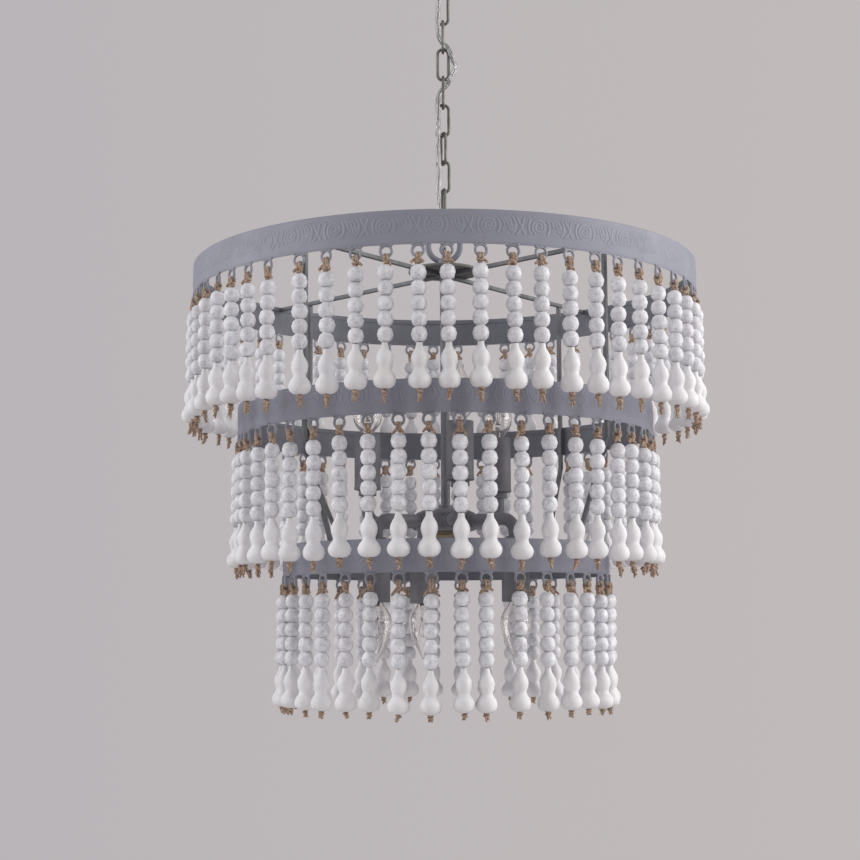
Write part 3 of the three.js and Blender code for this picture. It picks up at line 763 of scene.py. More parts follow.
def bulb_glass():
    """Clear glass with the faintest warm cloud."""
    def build(nodes, shader):
        cloud = mottle(nodes, nodes.object_place(), 60)
        feed(nodes, shader,
             Base_Color=nodes.mixed(cloud, (0.97, 0.95, 0.94, 1), (1, 0.99, 0.98, 1)),
             Roughness=0.0,
             Transmission_Weight=1,
             IOR=CLEAR_IOR)
    return material("Clear glass", build)


# Stage: camera, lights, floor

# Place, width, height and colour of each light. Their powers are settings
LIGHTS = {
    "key": ((2.5, -0.3, 0.15), 1.7, 1.7, (1, 0.99, 0.98)),
    "fill": ((-2.5, -0.3, 0.15), 1.7, 1.7, (0.98, 0.99, 1)),
    "front": ((0.8, -2.1, 0.5), 0.3, 1.2, (1, 1, 1)),
    "bounce": ((0, -0.9, -2.3), 2, 2, (1, 0.985, 0.97)),
}
LIGHT_AIM = (0, 0, -0.6)
AMBIENT_COLOUR = (1, 0.985, 0.975)

# How far to the left and right of straight ahead the backdrop still changes its colour: painted shading of
# the wall, lighter towards the right
WALL_SPREAD = 0.27
FLOOR_SIDES = 96
FAR_CLIP = 100


def add_camera():
    camera = added(bpy.ops.object.camera_add, location=CAMERA_PLACE)
    camera.name = "photograph_view"
    turn = Matrix.Rotation(CAMERA_PITCH, 3, "X") @ Matrix.Rotation(CAMERA_ROLL, 3, "Z")
    camera.rotation_euler = turn.to_euler()
    camera.data.sensor_width = SENSOR_WIDTH
    camera.data.lens = FOCAL_PIXELS / IMAGE_SIZE * SENSOR_WIDTH
    camera.data.clip_end = FAR_CLIP
    bpy.context.scene.camera = camera


def add_light(name, power, place, width, height, colour):
    light = added(bpy.ops.object.light_add, type="AREA", location=place)
    light.name = name
    light.data.shape = "RECTANGLE"
    light.data.size = width
    light.data.size_y = height
    light.data.energy = power
    light.data.color = colour
    light.visible_camera = False
    aim = Vector(LIGHT_AIM) - light.location
    light.rotation_euler = aim.to_track_quat("-Z", "Y").to_euler()


def add_world(stage):
    """Light from all round, and the backdrop that the camera sees, with painted shading lighter towards the
    right.
    """
    world = bpy.data.worlds.new("Studio")
    world.use_nodes = True
    bpy.context.scene.world = world
    nodes = Tree(world.node_tree)
    light = world.node_tree.nodes["Background"]
    light.inputs["Color"].default_value = opaque(AMBIENT_COLOUR)
    light.inputs["Strength"].default_value = stage.ambient
    direction = nodes.node("ShaderNodeTexCoord").outputs["Generated"]
    across = nodes.node("ShaderNodeSeparateXYZ", {0: direction}).outputs[0]
    share = nodes.ranged(across, -WALL_SPREAD, WALL_SPREAD, 0, 1)
    wall = nodes.mixed(share, opaque(stage.wall_left), opaque(stage.wall_right))
    backdrop = nodes.node("ShaderNodeBackground", {"Color": wall, "Strength": 1.0})
    path = nodes.node("ShaderNodeLightPath")
    seen = nodes.maths("MAXIMUM", path.outputs["Is Camera Ray"], path.outputs["Is Transmission Ray"])
    seen = nodes.maths("MAXIMUM", seen, path.outputs["Is Glossy Ray"])
    mixed = nodes.node("ShaderNodeMixShader", {0: seen, 1: light.outputs[0], 2: backdrop.outputs[0]})
    output = world.node_tree.nodes["World Output"]
    world.node_tree.links.new(mixed.outputs[0], output.inputs["Surface"])


def add_floor(stage):
    floor = added(bpy.ops.mesh.primitive_circle_add, vertices=FLOOR_SIDES, radius=stage.floor_radius,
                  fill_type="NGON", location=(0, 0, -stage.floor_depth))
    floor.name = "floor"
    def build(nodes, shader):
        cloud = mottle(nodes, nodes.object_place(), 0.8)
        colour = nodes.mixed(cloud, opaque(stage.wall_left, 0.98), opaque(stage.wall_right))
        feed(nodes, shader, Base_Color=colour, Roughness=0.9)
    floor.data.materials.append(material("Pale floor", build))


class CHANDELIER_OT_stage(bpy.types.Operator):
    """Sets up the camera, the lights, the backdrop and the floor"""

    bl_idname = "chandelier.stage"
    bl_label = "Stage"

    def execute(self, context):
        stage = settings().stage
        context.scene.view_settings.view_transform = "Standard"
        add_camera()
        add_world(stage)
        add_floor(stage)
        for name, light in LIGHTS.items():
            add_light(name, getattr(stage, f"{name}_power"), *light)
        return {"FINISHED"}


# Bands: a strip with a pressed scroll, bent round, with a hem inside and eyelets below

MOTIF_COLUMNS = 60
ROW_COUNTS = (4, 27, 3, 1)
SCROLL_FOOT = 0.19
SCROLL_TOP = 0.87
SCROLL_MIDDLE = 0.55
EDGE_ROUND = 0.4 * MM
# Mark of the top row, which the band's material turns into a painted shade along the top edge
TOP_EDGE_SHADE = -5
GROOVE_SHARE = 0.5
HEM_HEIGHT = 4.5 * MM
HEM_STEP = 0.7 * MM
RIDGE_WIDTH = 0.7 * MM
EYELET_BENDS = 14
EYELET_SIDES = 5
EYELET_TWIST = math.radians(6)
EYELET_LEAN = math.radians(3)
WELD_SCALE = (2.4, 1.3, 1.4)
WELD_SIDE = 4.4 * MM
WELD_DEPTH = 0.5 * MM
WELD_TURN = 0.5
HOOK_SHIFT = 0.8 * MM

# Ridges of one motif, in millimetres about its middle. A volute has its centre, its first and last
# radius, its first angle in degrees, its turns and its steps
VOLUTES = (
    (0, 0, 0.9, 6.9, 200, 2.1, 56),
    (1.6, 0, 11.4, 11.4, 146, 68 / 360, 12),
    (-1.2, 0, 10.6, 10.6, -36, 72 / 360, 12),
    (13.4, 0.4, 10, 10, -42, 84 / 360, 12),
    (19.6, -2.2, 0.8, 3.2, 70, -1.2, 18),
)
LEAF = ((-1.4, 6.6), (0.7, 4.2), (1.5, 0.6))
LEAF_COUNT = 3
LEAF_START = 11.8
LEAF_PITCH = 3.1
CROSSING = (((24.6, 7.2), (27.4, 1.4), (31.8, -7.4)), ((24.2, -7.4), (28.6, -1.8), (30.8, 7)))

# The first of the front eyelets, counted from the front, and how many degrees each stands off its mark
HOOK_SHIFTS = {
    "upper": (-9, (0.3, 0, -0.5, -0.8, 1.1, 1, 1, 0.8, 0.8, 0, 0.1, 0.1, -0.5, -0.8, -1.1, -1.7, -1.9, -1.7,
                   -1.2, -1, -0.4)),
    "middle": (-9, (-2.6, -1.7, -1.8, -1.9, -1.2, -0.9, -0.6, -0.2, -0.2, -0.3, -0.5, 0.2, 0.2, 0.5, 0.6, 1.2,
                    0.8, 1.9, 1.7)),
    "lower": (-7, (0.4, 0.8, 0.5, 0.6, 0.2, 0.1, 0.6, 0.4, -1.8, -0.3, 0.1, 0.5, 0.2, 0.5)),
}


def spiral(x, z, start, stop, first, turns, steps):
    """Points of a volute about a centre: radii from start to stop, and the first angle in degrees."""
    x, z, start, stop = (value * MM for value in (x, z, start, stop))
    line = []
    for step in range(steps + 1):
        share = step / steps
        radius = start + (stop - start) * share
        angle = math.radians(first) + turns * 2 * math.pi * share
        line.append((x + radius * math.cos(angle), z + radius * math.sin(angle)))
    return line


def bowed(points, middle, steps):
    """A smooth line through points in millimetres, moved across to a middle in metres."""
    return smooth_outline([(middle + x * MM, z * MM) for x, z in points], steps)


def scroll_lines():
    """The ridges of one motif: a rosette with its ripples, slanted leaves and a crossing."""
    lines = [spiral(*volute) for volute in VOLUTES]
    lines += [bowed(LEAF, (LEAF_START + LEAF_PITCH * number) * MM, 4) for number in range(LEAF_COUNT)]
    return lines + [bowed(stroke, 0, 6) for stroke in CROSSING]


def scroll_height(columns, heights, pitch):
    """Relief of one motif for each column and row of its grid: 1 on a ridge, below 0 beside it."""
    across = (np.arange(columns) / columns - 0.5) * pitch
    x, z = np.meshgrid(across, heights, indexing="ij")
    best = np.full(x.shape, 1.0)
    for line in scroll_lines():
        for shift in (-pitch, 0, pitch):
            points = np.array(line) + (shift, 0)
            for (ax, az), (bx, bz) in zip(points, points[1:]):
                dx, dz = bx - ax, bz - az
                share = np.clip(((x - ax) * dx + (z - az) * dz) / (dx * dx + dz * dz), 0, 1)
                best = np.minimum(best, np.hypot(x - ax - share * dx, z - az - share * dz))
    groove = np.exp(-((best - 2 * RIDGE_WIDTH) / RIDGE_WIDTH) ** 2)
    return np.exp(-(best / RIDGE_WIDTH) ** 2) - GROOVE_SHARE * groove


def clamped(value, most):
    return max(-most, min(most, value))


def hook_azimuth(tier, index):
    """Azimuth of one eyelet. Each is welded on a little off its mark, in front as in the photograph."""
    place = index if index < tier.count / 2 else index - tier.count
    first, shifts = HOOK_SHIFTS[tier.name]
    number = place - first
    mark = tier.first_azimuth + 2 * math.pi * index / tier.count
    mark += tier.back * (1 - math.cos(mark)) / 2
    if 0 <= number < len(shifts):
        return mark + math.radians(shifts[number])
    chance = random.Random(f"{tier.name} hook {index}")
    return mark + clamped(chance.gauss(0, 1), 2) * HOOK_SHIFT / tier.radius


def band_rows(height):
    """Heights of a band's rows above its lower edge, close together where the scroll is."""
    marks = (0, SCROLL_FOOT * height, SCROLL_TOP * height, height - EDGE_ROUND, height)
    rows = [0.0]
    for low, high, count in zip(marks, marks[1:], ROW_COUNTS):
        rows += [low + (high - low) * step / count for step in range(1, count + 1)]
    return np.array(rows)


def pressed_strip(tier, bands):
    """A grid bent round with the scroll pressed into it, and each corner marked with its relief; the top row
    gets the mark for the painted shade along the top edge.
    """
    columns = tier.motifs * MOTIF_COLUMNS
    pitch = 2 * math.pi * tier.radius / tier.motifs
    rows = band_rows(bands.height)
    steps = len(rows) - 1
    band = added(bpy.ops.mesh.primitive_grid_add, x_subdivisions=columns, y_subdivisions=steps, size=1)
    corners = np.empty(len(band.data.vertices) * 3)
    band.data.vertices.foreach_get("co", corners)
    corners = corners.reshape(-1, 3)
    column = np.rint((corners[:, 0] + 0.5) * columns).astype(int)
    row = np.rint((corners[:, 1] + 0.5) * steps).astype(int)
    heights = rows - SCROLL_MIDDLE * bands.height
    raised = scroll_height(MOTIF_COLUMNS, heights, pitch)[column % MOTIF_COLUMNS, row]
    edge = (row == 0) | (row == steps)
    radius = tier.radius - bands.relief * (1 - raised) - EDGE_ROUND * edge
    azimuth = 2 * np.pi * (column - MOTIF_COLUMNS / 2) / columns + tier.rosette
    corners[:, 0] = radius * np.sin(azimuth)
    corners[:, 1] = -radius * np.cos(azimuth)
    corners[:, 2] = tier.top - bands.height + rows[row]
    band.data.vertices.foreach_set("co", corners.ravel())
    # The top row's mark makes the painted shade along the top edge
    raised[row == steps] = TOP_EDGE_SHADE
    mark = band.data.attributes.new("raised", "FLOAT", "POINT")
    mark.data.foreach_set("value", raised.astype(np.float32))
    return band


def close_band(band, tier, bands):
    """Adds the top edge, the hem, the inner wall and the bottom edge."""
    inner = tier.radius - bands.wall
    narrow = inner / (tier.radius - bands.relief - EDGE_ROUND)
    wider = (inner + HEM_STEP) / inner
    foot = tier.top - bands.height + EDGE_ROUND / 2
    with editing(band):
        bpy.ops.mesh.select_all(action="SELECT")
        bpy.ops.mesh.remove_doubles(threshold=MERGE)
        select_corners(band, lambda place: place.z > tier.top - EDGE_ROUND / 2)
        bpy.ops.mesh.extrude_region_move()
        bpy.ops.transform.resize(value=(narrow, narrow, 1), center_override=(0, 0, tier.top))
        bpy.ops.mesh.extrude_region_move(TRANSFORM_OT_translate={"value": (0, 0, -HEM_HEIGHT)})
        bpy.ops.mesh.extrude_region_move()
        bpy.ops.transform.resize(value=(wider, wider, 1), center_override=(0, 0, tier.top - HEM_HEIGHT))
        bpy.ops.mesh.extrude_region_move(TRANSFORM_OT_translate={"value": (0, 0, HEM_HEIGHT - bands.height)})
        select_corners(band, lambda place: place.z < foot)
        bpy.ops.mesh.bridge_edge_loops()
        bpy.ops.mesh.select_all(action="SELECT")
        bpy.ops.mesh.normals_make_consistent(inside=False)


def make_band(tier, bands):
    """A strip with its scroll and turned edges. The corners of its inner face are marked."""
    band = pressed_strip(tier, bands)
    close_band(band, tier, bands)
    # The inner face is marked so that the band's material can darken it as painted shade
    limit = tier.radius - bands.wall + HEM_STEP + MERGE
    inside = [1.0 if math.hypot(v.co.x, v.co.y) < limit else 0.0 for v in band.data.vertices]
    band.data.attributes.new("inside", "FLOAT", "POINT").data.foreach_set("value", inside)
    dressed(band, f"{tier.name}_band", "fixture", [tier.node], zinc_band(), angle=50)


def eyelet_depth(tier, bands):
    """From a band's lower edge down to the middle of its eyelets' lowest wire."""
    return tier.top - bands.height - lowest(tier.node) - bands.eyelet_wire / 2


def under_band(tier, bands, height):
    """Moves what is made at the origin under the front of a band, to a height."""
    return Matrix.Translation((0, -(tier.radius - bands.wall / 2), height))


def make_eyelets(tier, bands):
    """Rings of round wire under the band, each with a weld on either side."""
    wire_radius = bands.eyelet_wire / 2
    ring = added(bpy.ops.mesh.primitive_torus_add, major_segments=EYELET_BENDS, minor_segments=EYELET_SIDES,
                 major_radius=bands.eyelet_width / 2 - wire_radius, minor_radius=wire_radius,
                 rotation=(math.pi / 2, 0, 0))
    settle(ring)
    height = lowest(tier.node) + bands.eyelet_width / 2
    edge = tier.top - bands.height - height
    parts = [ring]
    for side in (-1, 1):
        weld = added(bpy.ops.mesh.primitive_uv_sphere_add, segments=6, ring_count=4, radius=1 * MM,
                     scale=WELD_SCALE, location=(side * WELD_SIDE, 0, edge - WELD_DEPTH),
                     rotation=(0, -side * WELD_TURN, 0))
        settle(weld)
        parts.append(weld)
    pattern = joined(parts)
    place = under_band(tier, bands, height)
    to_edge = Matrix.Translation((0, 0, -edge))
    rings = []
    for index in range(tier.count):
        chance = random.Random(f"{tier.name} ring {index}")
        twist = Matrix.Rotation(chance.gauss(0, EYELET_TWIST), 4, "Z")
        lean = to_edge.inverted() @ Matrix.Rotation(chance.gauss(0, EYELET_LEAN), 4, "Y") @ to_edge
        rings.append(copied(pattern, facing(hook_azimuth(tier, index)) @ place @ twist @ lean))
    scrapped(pattern)
    dressed(joined(rings), f"{tier.name}_eyelets", "fixture", [tier.node], zinc_wire(),
            angle=80)


class CHANDELIER_OT_bands(bpy.types.Operator):
    """Makes the three bands and their eyelets"""

    bl_idname = "chandelier.bands"
    bl_label = "Bands"

    def execute(self, context):
        for tier in TIERS:
            make_band(tier, settings().bands)
            make_eyelets(tier, settings().bands)
        return {"FINISHED"}


# Strands: beads, gourds and jute

# Outlines in millimetres, as pairs of radius and height
BEAD_SIDES = 12
BEAD_OUTLINE = ((0, -5.9), (3.5, -6.4), (6.0, -4.3), (7.2, 0), (6.0, 4.3), (3.5, 6.4), (0, 5.9))
BEADS_PER_STRAND = 5
BEAD_GAP = 0.12 * MM
CORE_RADIUS = 0.5 * MM
GOURD_SIDES = 12
GOURD_GAP = 7.2 * MM
GOURD_OUTLINE = (
    (0.9, 39), (2.9, 38.9), (3, 36.8), (3.6, 34.6), (5.3, 32), (7.1, 28.8), (7.9, 25.4), (7.4, 21.8),
    (6.3, 18.8), (6, 16.9), (6.8, 15), (8.9, 12.4), (10.2, 9.4), (10.4, 7), (9.3, 3.6), (6.8, 1.2),
    (3.6, 0.2), (0.9, 0),
)
GOURD_KINDS = 4

# Heights at which a gourd's belly, waist and shoulder get a girth of their own
GOURD_MARKS = (0, 8, 16.9, 25.4, 36, 39)
JUTE_SIDES = 6
WINDING_STEPS = 7
LOOP_SPREAD = 0.75
SHORT_KNOT = 9 * MM
KNOT_KINDS = 8
KNOT_HAIRS = 3
TAIL_ENDS = 2
TAIL_HAIRS = 5


def make_bead():
    """A squat turned bead with a dish round the hole at each end."""
    return turned(profile(0, *BEAD_OUTLINE), BEAD_SIDES)


def make_gourd(strands, chance):
    """A turned gourd, its top at the origin. No two kinds have quite the same shoulder, waist and belly."""
    tallest = GOURD_OUTLINE[0][1]
    scale = strands.gourd / tallest
    sizes = (1, chance.uniform(0.95, 1.02), chance.uniform(0.93, 1.04), chance.uniform(0.94, 1.04), 1, 1)
    slip = chance.uniform(-0.8, 0.8)
    outline = []
    for radius, height in GOURD_OUTLINE:
        share = float(np.interp(height, GOURD_MARKS, sizes))
        moved = height + slip * math.sin(math.pi * height / tallest)
        outline.append((radius * share * scale, (moved - tallest) * scale))
    return turned(outline, GOURD_SIDES)


def coil(radius, top, bottom, turns, first):
    """Points of a short winding round the Z axis."""
    count = max(3, round(turns * WINDING_STEPS))
    line = []
    for step in range(count + 1):
        angle = first + 2 * math.pi * turns * step / count
        height = top + (bottom - top) * step / count
        line.append((radius * math.cos(angle), radius * math.sin(angle), height))
    return line


def knot_loop(thick, round_wire, top):
    """The two turns of jute that pass over an eyelet's wire and down to a knot's top."""
    loop = [
        (0.5 * thick, -0.6 * round_wire, top - thick),
        (0.4 * thick, -round_wire, -0.35 * round_wire),
        (0.2 * thick, -0.75 * round_wire, 0.75 * round_wire),
        (0, 0.1 * round_wire, 1.1 * round_wire),
        (-0.1 * thick, 0.85 * round_wire, 0.6 * round_wire),
        (-0.3 * thick, round_wire, -0.4 * round_wire),
        (-0.5 * thick, 0.6 * round_wire, top - thick),
    ]
    return [[(x + side * LOOP_SPREAD * thick, y, z) for x, y, z in loop] for side in (-1, 1)]


def knot_turns(thick, top, bottom, chance):
    """Windings between the knot's top and the first bead, all leaning one way."""
    depth = top - bottom
    lines = []
    for part in range(2 if depth < SHORT_KNOT else 3):
        high = top - depth * (0.1 + 0.3 * part) + chance.uniform(-0.4, 0.4) * MM
        low = max(bottom, high - chance.uniform(2.2, 3.2) * MM)
        wide = chance.uniform(1.05, 1.5) * thick
        lines.append(coil(wide, high, low, chance.uniform(1.0, 1.35), chance.uniform(0, 6)))
    tilt = Matrix.Rotation(chance.gauss(0, 0.22), 3, "Y") @ Matrix.Rotation(chance.gauss(0, 0.22), 3, "X")
    middle = Vector((0, 0, (top + bottom) / 2))
    return [[middle + tilt @ (Vector(point) - middle) for point in line] for line in lines]


def knot_ends(height, chance):
    """The cut end that sticks out of a knot, and now and then a second one on the other side."""
    lines = []
    side = chance.choice((1, 1, 1, -1))
    for _ in range(chance.choice((1, 1, 1, 1, 2))):
        out = side * chance.uniform(4.4, 7) * MM
        fall = chance.uniform(2.4, 5.4) * MM
        forward = chance.uniform(-2.6, 0.8) * MM
        start = height + chance.uniform(-0.6, 1.2) * MM
        lines.append([
            (0, 0, start, 0.95), (out * 0.42, forward * 0.4, start + 0.3 * MM, 0.95),
            (out * 0.75, forward * 0.8, start - fall * 0.45, 0.95), (out, forward, start - fall, 0.85),
        ])
        side = -side
    return lines


def make_top_knot(strands, bands, length, chance):
    """Jute looped over an eyelet's wire, knotted above the first bead, with a cut end that sticks out."""
    thick = strands.jute / 2
    round_wire = bands.eyelet_wire / 2 + thick * 0.8
    top = -(round_wire - thick * 0.4)
    bottom = -(length - thick * 0.5)
    middle = Vector((0, 0, (top + bottom) / 2))
    lines = knot_loop(thick, round_wire, top)
    lines += knot_turns(thick, top, bottom, chance)
    lines += knot_ends(middle.z, chance)
    for _ in range(KNOT_HAIRS):
        tip = Vector((chance.uniform(-6, 6), chance.uniform(-4, 1), chance.uniform(-4, 1))) * MM
        bent = Vector((tip.x * 0.5, tip.y * 0.4, tip.z * 0.2 + 0.6 * MM))
        lines.append([(*middle, 0.2), (*(middle + bent), 0.17), (*(middle + tip), 0.1)])
    return wire(lines, thick, JUTE_SIDES)


def make_tail(strands, chance):
    """Knot and frayed ends under a gourd, its top at the origin."""
    thick = strands.jute / 2
    lines = [coil(thick * chance.uniform(0.9, 1.4), thick * 0.3, -3.2 * thick, 1.5, chance.uniform(0, 6))]
    lean = Vector((chance.uniform(-2.2, 2.2), chance.uniform(-1.6, 1.6), 0)) * MM
    turn = chance.uniform(0, 2 * math.pi)
    for end in range(TAIL_ENDS):
        angle = turn + end * math.pi
        spread = chance.uniform(0.8, 2.2) * MM
        out = Vector((math.cos(angle), math.sin(angle), 0)) * spread
        length = chance.uniform(7.8, 10.4) * MM
        lines.append([(0, 0, -2 * MM, 0.8), (*(out * 0.6 + lean * 0.3 - Vector((0, 0, 5.2 * MM))), 0.85),
                      (*(out + lean - Vector((0, 0, length))), 0.62)])
    for _ in range(TAIL_HAIRS):
        angle = chance.uniform(0, 2 * math.pi)
        out = Vector((math.cos(angle), math.sin(angle), 0)) * chance.uniform(1.2, 3.4) * MM
        length = chance.uniform(5.5, 10.2) * MM
        lines.append([(0, 0, -3 * MM, 0.3), (*(out * 0.5 + lean * 0.3 - Vector((0, 0, length * 0.6))), 0.24),
                      (*(out + lean - Vector((0, 0, length))), 0.12)])
    return wire(lines, thick, JUTE_SIDES)


def strand_place(tier, index, strands, bands):
    """Where a strand hangs: the origin is the middle of its eyelet's lowest wire."""
    chance = random.Random(f"{tier.name} strand {index}")
    hook = under_band(tier, bands, lowest(tier.node) + bands.eyelet_wire / 2)
    tilt = [clamped(chance.gauss(0, 1), 2.2) * strands.sway for _ in range(2)]
    sway = Matrix.Rotation(tilt[0] * 0.6, 4, "X") @ Matrix.Rotation(tilt[1], 4, "Y")
    return facing(hook_azimuth(tier, index)) @ hook @ sway


def threaded(bead, tier, place, first_bead, chance):
    """The beads of one strand, each with its own size and tone and a little off its place."""
    snug = (tier.pitch - BEAD_GAP) / (2 * BEAD_OUTLINE[-2][1] * MM)
    beads = []
    for count in range(BEADS_PER_STRAND):
        size = chance.uniform(0.97, 1.03)
        spin = Matrix.Rotation(chance.uniform(0, math.pi), 4, "Z")
        wide = Matrix.Diagonal((size, size, snug, 1))
        shift = Matrix.Translation((chance.gauss(0, 0.15) * MM, chance.gauss(0, 0.15) * MM,
                                    first_bead - count * tier.pitch))
        lean = Matrix.Rotation(chance.gauss(0, math.radians(2.5)), 4, "X")
        beads.append(tinted(copied(bead, place @ shift @ lean @ spin @ wide), chance.uniform(0.93, 1.03)))
    return beads


def make_quarter(tier, quarter, patterns, strands, bands):
    """The strands of a quarter of one tier: a piece of beads, one of gourds and one of jute."""
    bead, gourd_kinds, knots, tails = patterns
    highest_bead = eyelet_depth(tier, bands) - tier.drop
    knot_end = highest_bead + strands.bead / 2
    beads, gourds, jute = [], [], []
    for number in range(tier.per_quarter):
        index = quarter * tier.per_quarter + number
        chance = random.Random(f"{tier.name} beads {index}")
        place = strand_place(tier, index, strands, bands)
        slack = clamped(chance.gauss(0, 0.9), 1.8) * MM
        first_bead = highest_bead - slack
        beads += threaded(bead, tier, place, first_bead, chance)
        gourd_top = first_bead - (BEADS_PER_STRAND - 1) * tier.pitch - GOURD_GAP
        gourd_end = gourd_top - strands.gourd
        spin = Matrix.Rotation(chance.uniform(0, 2 * math.pi), 4, "Z")
        wide = chance.uniform(0.98, 1.01)
        turn = place @ Matrix.Translation((0, 0, gourd_top)) @ spin @ Matrix.Diagonal((wide, wide, 1, 1))
        gourds.append(tinted(copied(chance.choice(gourd_kinds), turn), chance.uniform(0.95, 1.03)))
        jute.append(copied(chance.choice(knots), place @ Matrix.Diagonal((1, 1, 1 - slack / knot_end, 1))))
        tail = place @ Matrix.Translation((0, 0, gourd_end)) @ Matrix.Diagonal((1, 1, tier.tail, 1))
        jute.append(copied(chance.choice(tails), tail @ Matrix.Rotation(chance.uniform(0, 6), 4, "Z")))
        core = wire([[(0, 0, first_bead + strands.bead / 2), (0, 0, gourd_end - 1 * MM)]], CORE_RADIUS, 4)
        core.data.transform(place)
        jute.append(core)
    where = QUARTERS[quarter]
    nodes = [f"{tier.name}_strands_{where}"]
    for slot, pieces, finish in (("beads", beads, whitewash), ("gourds", gourds, cream_wood),
                                 ("jute", jute, jute_fibre)):
        dressed(joined(pieces), f"{tier.name}_{slot}_{where}", "fixture", nodes, finish(), angle=80)


class CHANDELIER_OT_strands(bpy.types.Operator):
    """Threads the beads and gourds on their jute"""

    bl_idname = "chandelier.strands"
    bl_label = "Strands"

    def execute(self, context):
        strands, bands = settings().strands, settings().bands
        bead = make_bead()
        chance = random.Random("jute")
        gourds = [make_gourd(strands, chance) for _ in range(GOURD_KINDS)]
        tails = [make_tail(strands, chance) for _ in range(KNOT_KINDS)]
        for tier in TIERS:
            length = tier.drop - eyelet_depth(tier, bands) - strands.bead / 2
            knots = [make_top_knot(strands, bands, length, chance) for _ in range(KNOT_KINDS)]
            for quarter in range(len(QUARTERS)):
                make_quarter(tier, quarter, (bead, gourds, knots, tails), strands, bands)
            scrapped(*knots)
        scrapped(bead, *gourds, *tails)
        return {"FINISHED"}


# Chain, loops and cord

LINK_BENDS = 28
LINK_SIDES = 12

# Degrees by which a link stands off its quarter turn
LINK_TURNS = {7: 23, 9: 14}

# The weld on a link: cuts along its straight side, the share of that side that swells, and how much
SEAM_CUTS = 5
SEAM_SHARE = 0.25
SEAM_SWELL = (1.12, 1.12, 0.5)
LOOP_HEIGHTS = {"hang_loop": 52.4 * MM, "canopy_loop": 33 * MM}
FOOT_SIDES = 32
THREAD_TURNS = 7

# The cord: room round it in a bore, the length of one twist of its conductors, their own radius and their
# distance from the middle, the place of its cut above the hanging loop's foot, and the steps between each
# two points of its smoothed route
CORD_ROOM = 0.8 * MM
CORD_TWIST = 70 * MM
CONDUCTOR_RADIUS = 0.8 * MM
CONDUCTOR_REACH = 1 * MM
HANG_CUT = 17 * MM
CORD_STEPS = 4

# The cord's route in millimetres, from the canopy down to the lamp hub
CORD_ROUTE = (
    (0, 0, -6), (0, 0, -20), (0, 0, -35), (-1.9, -1, -41), (-4.6, -3.2, -47), (-5.2, -6, -55),
    (-5.2, -6.2, -62), (-5.2, -5.2, -72), (-4.8, -5, -86), (-4.6, -5, -100), (-5, -4.9, -112),
    (-5.2, -3.6, -121), (-3.8, -1.1, -129), (-0.4, 0, -135.6), (3.4, -1.6, -139.4), (6.3, -3.2, -144.2),
    (8.8, -2.6, -150), (11, -1.1, -155.4), (12.4, -0.6, -160.3), (11, -1.1, -165.2), (8.8, -2.6, -170.6),
    (6.3, -3.2, -176.2), (3.4, -1.6, -180.6), (-0.4, 0, -184.2), (-4.2, -1.2, -191), (-5.4, -4, -199),
    (-5.2, -5, -209), (-5, -5, -222), (-5.6, -5.2, -240), (-5, -5.1, -258),
    (-4.8, -5, -276), (-5.2, -5.2, -292), (-5.2, -5.8, -306), (-5.2, -6.1, -316), (-5, -5, -326),
    (-3.2, -2.6, -335), (-0.8, -0.6, -344), (0, 0, -352), (0, 0, -365), (0, 0, -493.1),
    (0, 0, -621.2),
)


def oblong_ring(width, height, thickness):
    """A closed oblong ring of round wire in the XZ plane, with a weld on its right side."""
    half_step = math.pi / LINK_BENDS
    bend = (width - thickness) / 2 / math.cos(half_step)
    piece = added(bpy.ops.mesh.primitive_torus_add, major_segments=LINK_BENDS, minor_segments=LINK_SIDES,
                  major_radius=bend, minor_radius=thickness / 2, rotation=(math.pi / 2, half_step, 0))
    settle(piece)
    stretch = (height - width) / 2
    with editing(piece):
        for side in (1, -1):
            select_corners(piece, lambda place: place.z * side > 0)
            bpy.ops.transform.translate(value=(0, 0, side * stretch))
        select_edges(piece, lambda first, second: first.z * second.z < 0 and first.x > 0)
        bpy.ops.mesh.subdivide(number_cuts=SEAM_CUTS)
        select_corners(piece, lambda place: place.x > 0 and abs(place.z) < stretch * SEAM_SHARE)
        bpy.ops.transform.resize(value=SEAM_SWELL, center_override=((width - thickness) / 2, 0, 0))
    return piece


def make_links(chain):
    """The links, each a quarter turn from the last."""
    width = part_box("chain_link_2")[1].x * 2
    length = highest("chain_link_1") - lowest("chain_link_1")
    pattern = oblong_ring(width, length, chain.link_wire)
    for number in range(1, LINK_COUNT + 1):
        node = f"chain_link_{number}"
        turn = math.radians(LINK_TURNS.get(number, 0)) + (math.pi / 2 if number % 2 else 0)
        place = Matrix.Translation((0, 0, centre(node).z)) @ Matrix.Rotation(turn, 4, "Z")
        link = copied(pattern, place)
        dressed(link, f"link_wire_{number}", f"link_{number}", [node], chain_metal(), angle=60)
    scrapped(pattern)


def make_loop(node, name, body, foot, finish, chain):
    """A loop of thick wire that stands on its turned foot."""
    low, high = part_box(node)
    width = 2 * max(abs(low.x), abs(high.x))
    tall = LOOP_HEIGHTS[node]
    middle = high.z - tall / 2 if node == "hang_loop" else low.z + tall / 2
    ring = oblong_ring(width, tall, chain.loop_wire)
    ring.data.transform(Matrix.Translation((0, 0, middle)))
    dressed(joined([ring, turned(foot, FOOT_SIDES)]), name, body, [node], finish, angle=40)


def hang_loop_foot(chain):
    """Collar between the loop and the hub disc, bored for the cord."""
    bottom = lowest("hang_loop")
    bore = chain.cord / 2 + CORD_ROOM
    return [
        (bore, bottom), *profile(bottom, (7.4, 0), (8, 0.6), (8, 4), (7.2, 5), (6.6, 9), (5.2, 11.3)),
        (bore, bottom + 11.5 * MM), (bore, bottom),
    ]


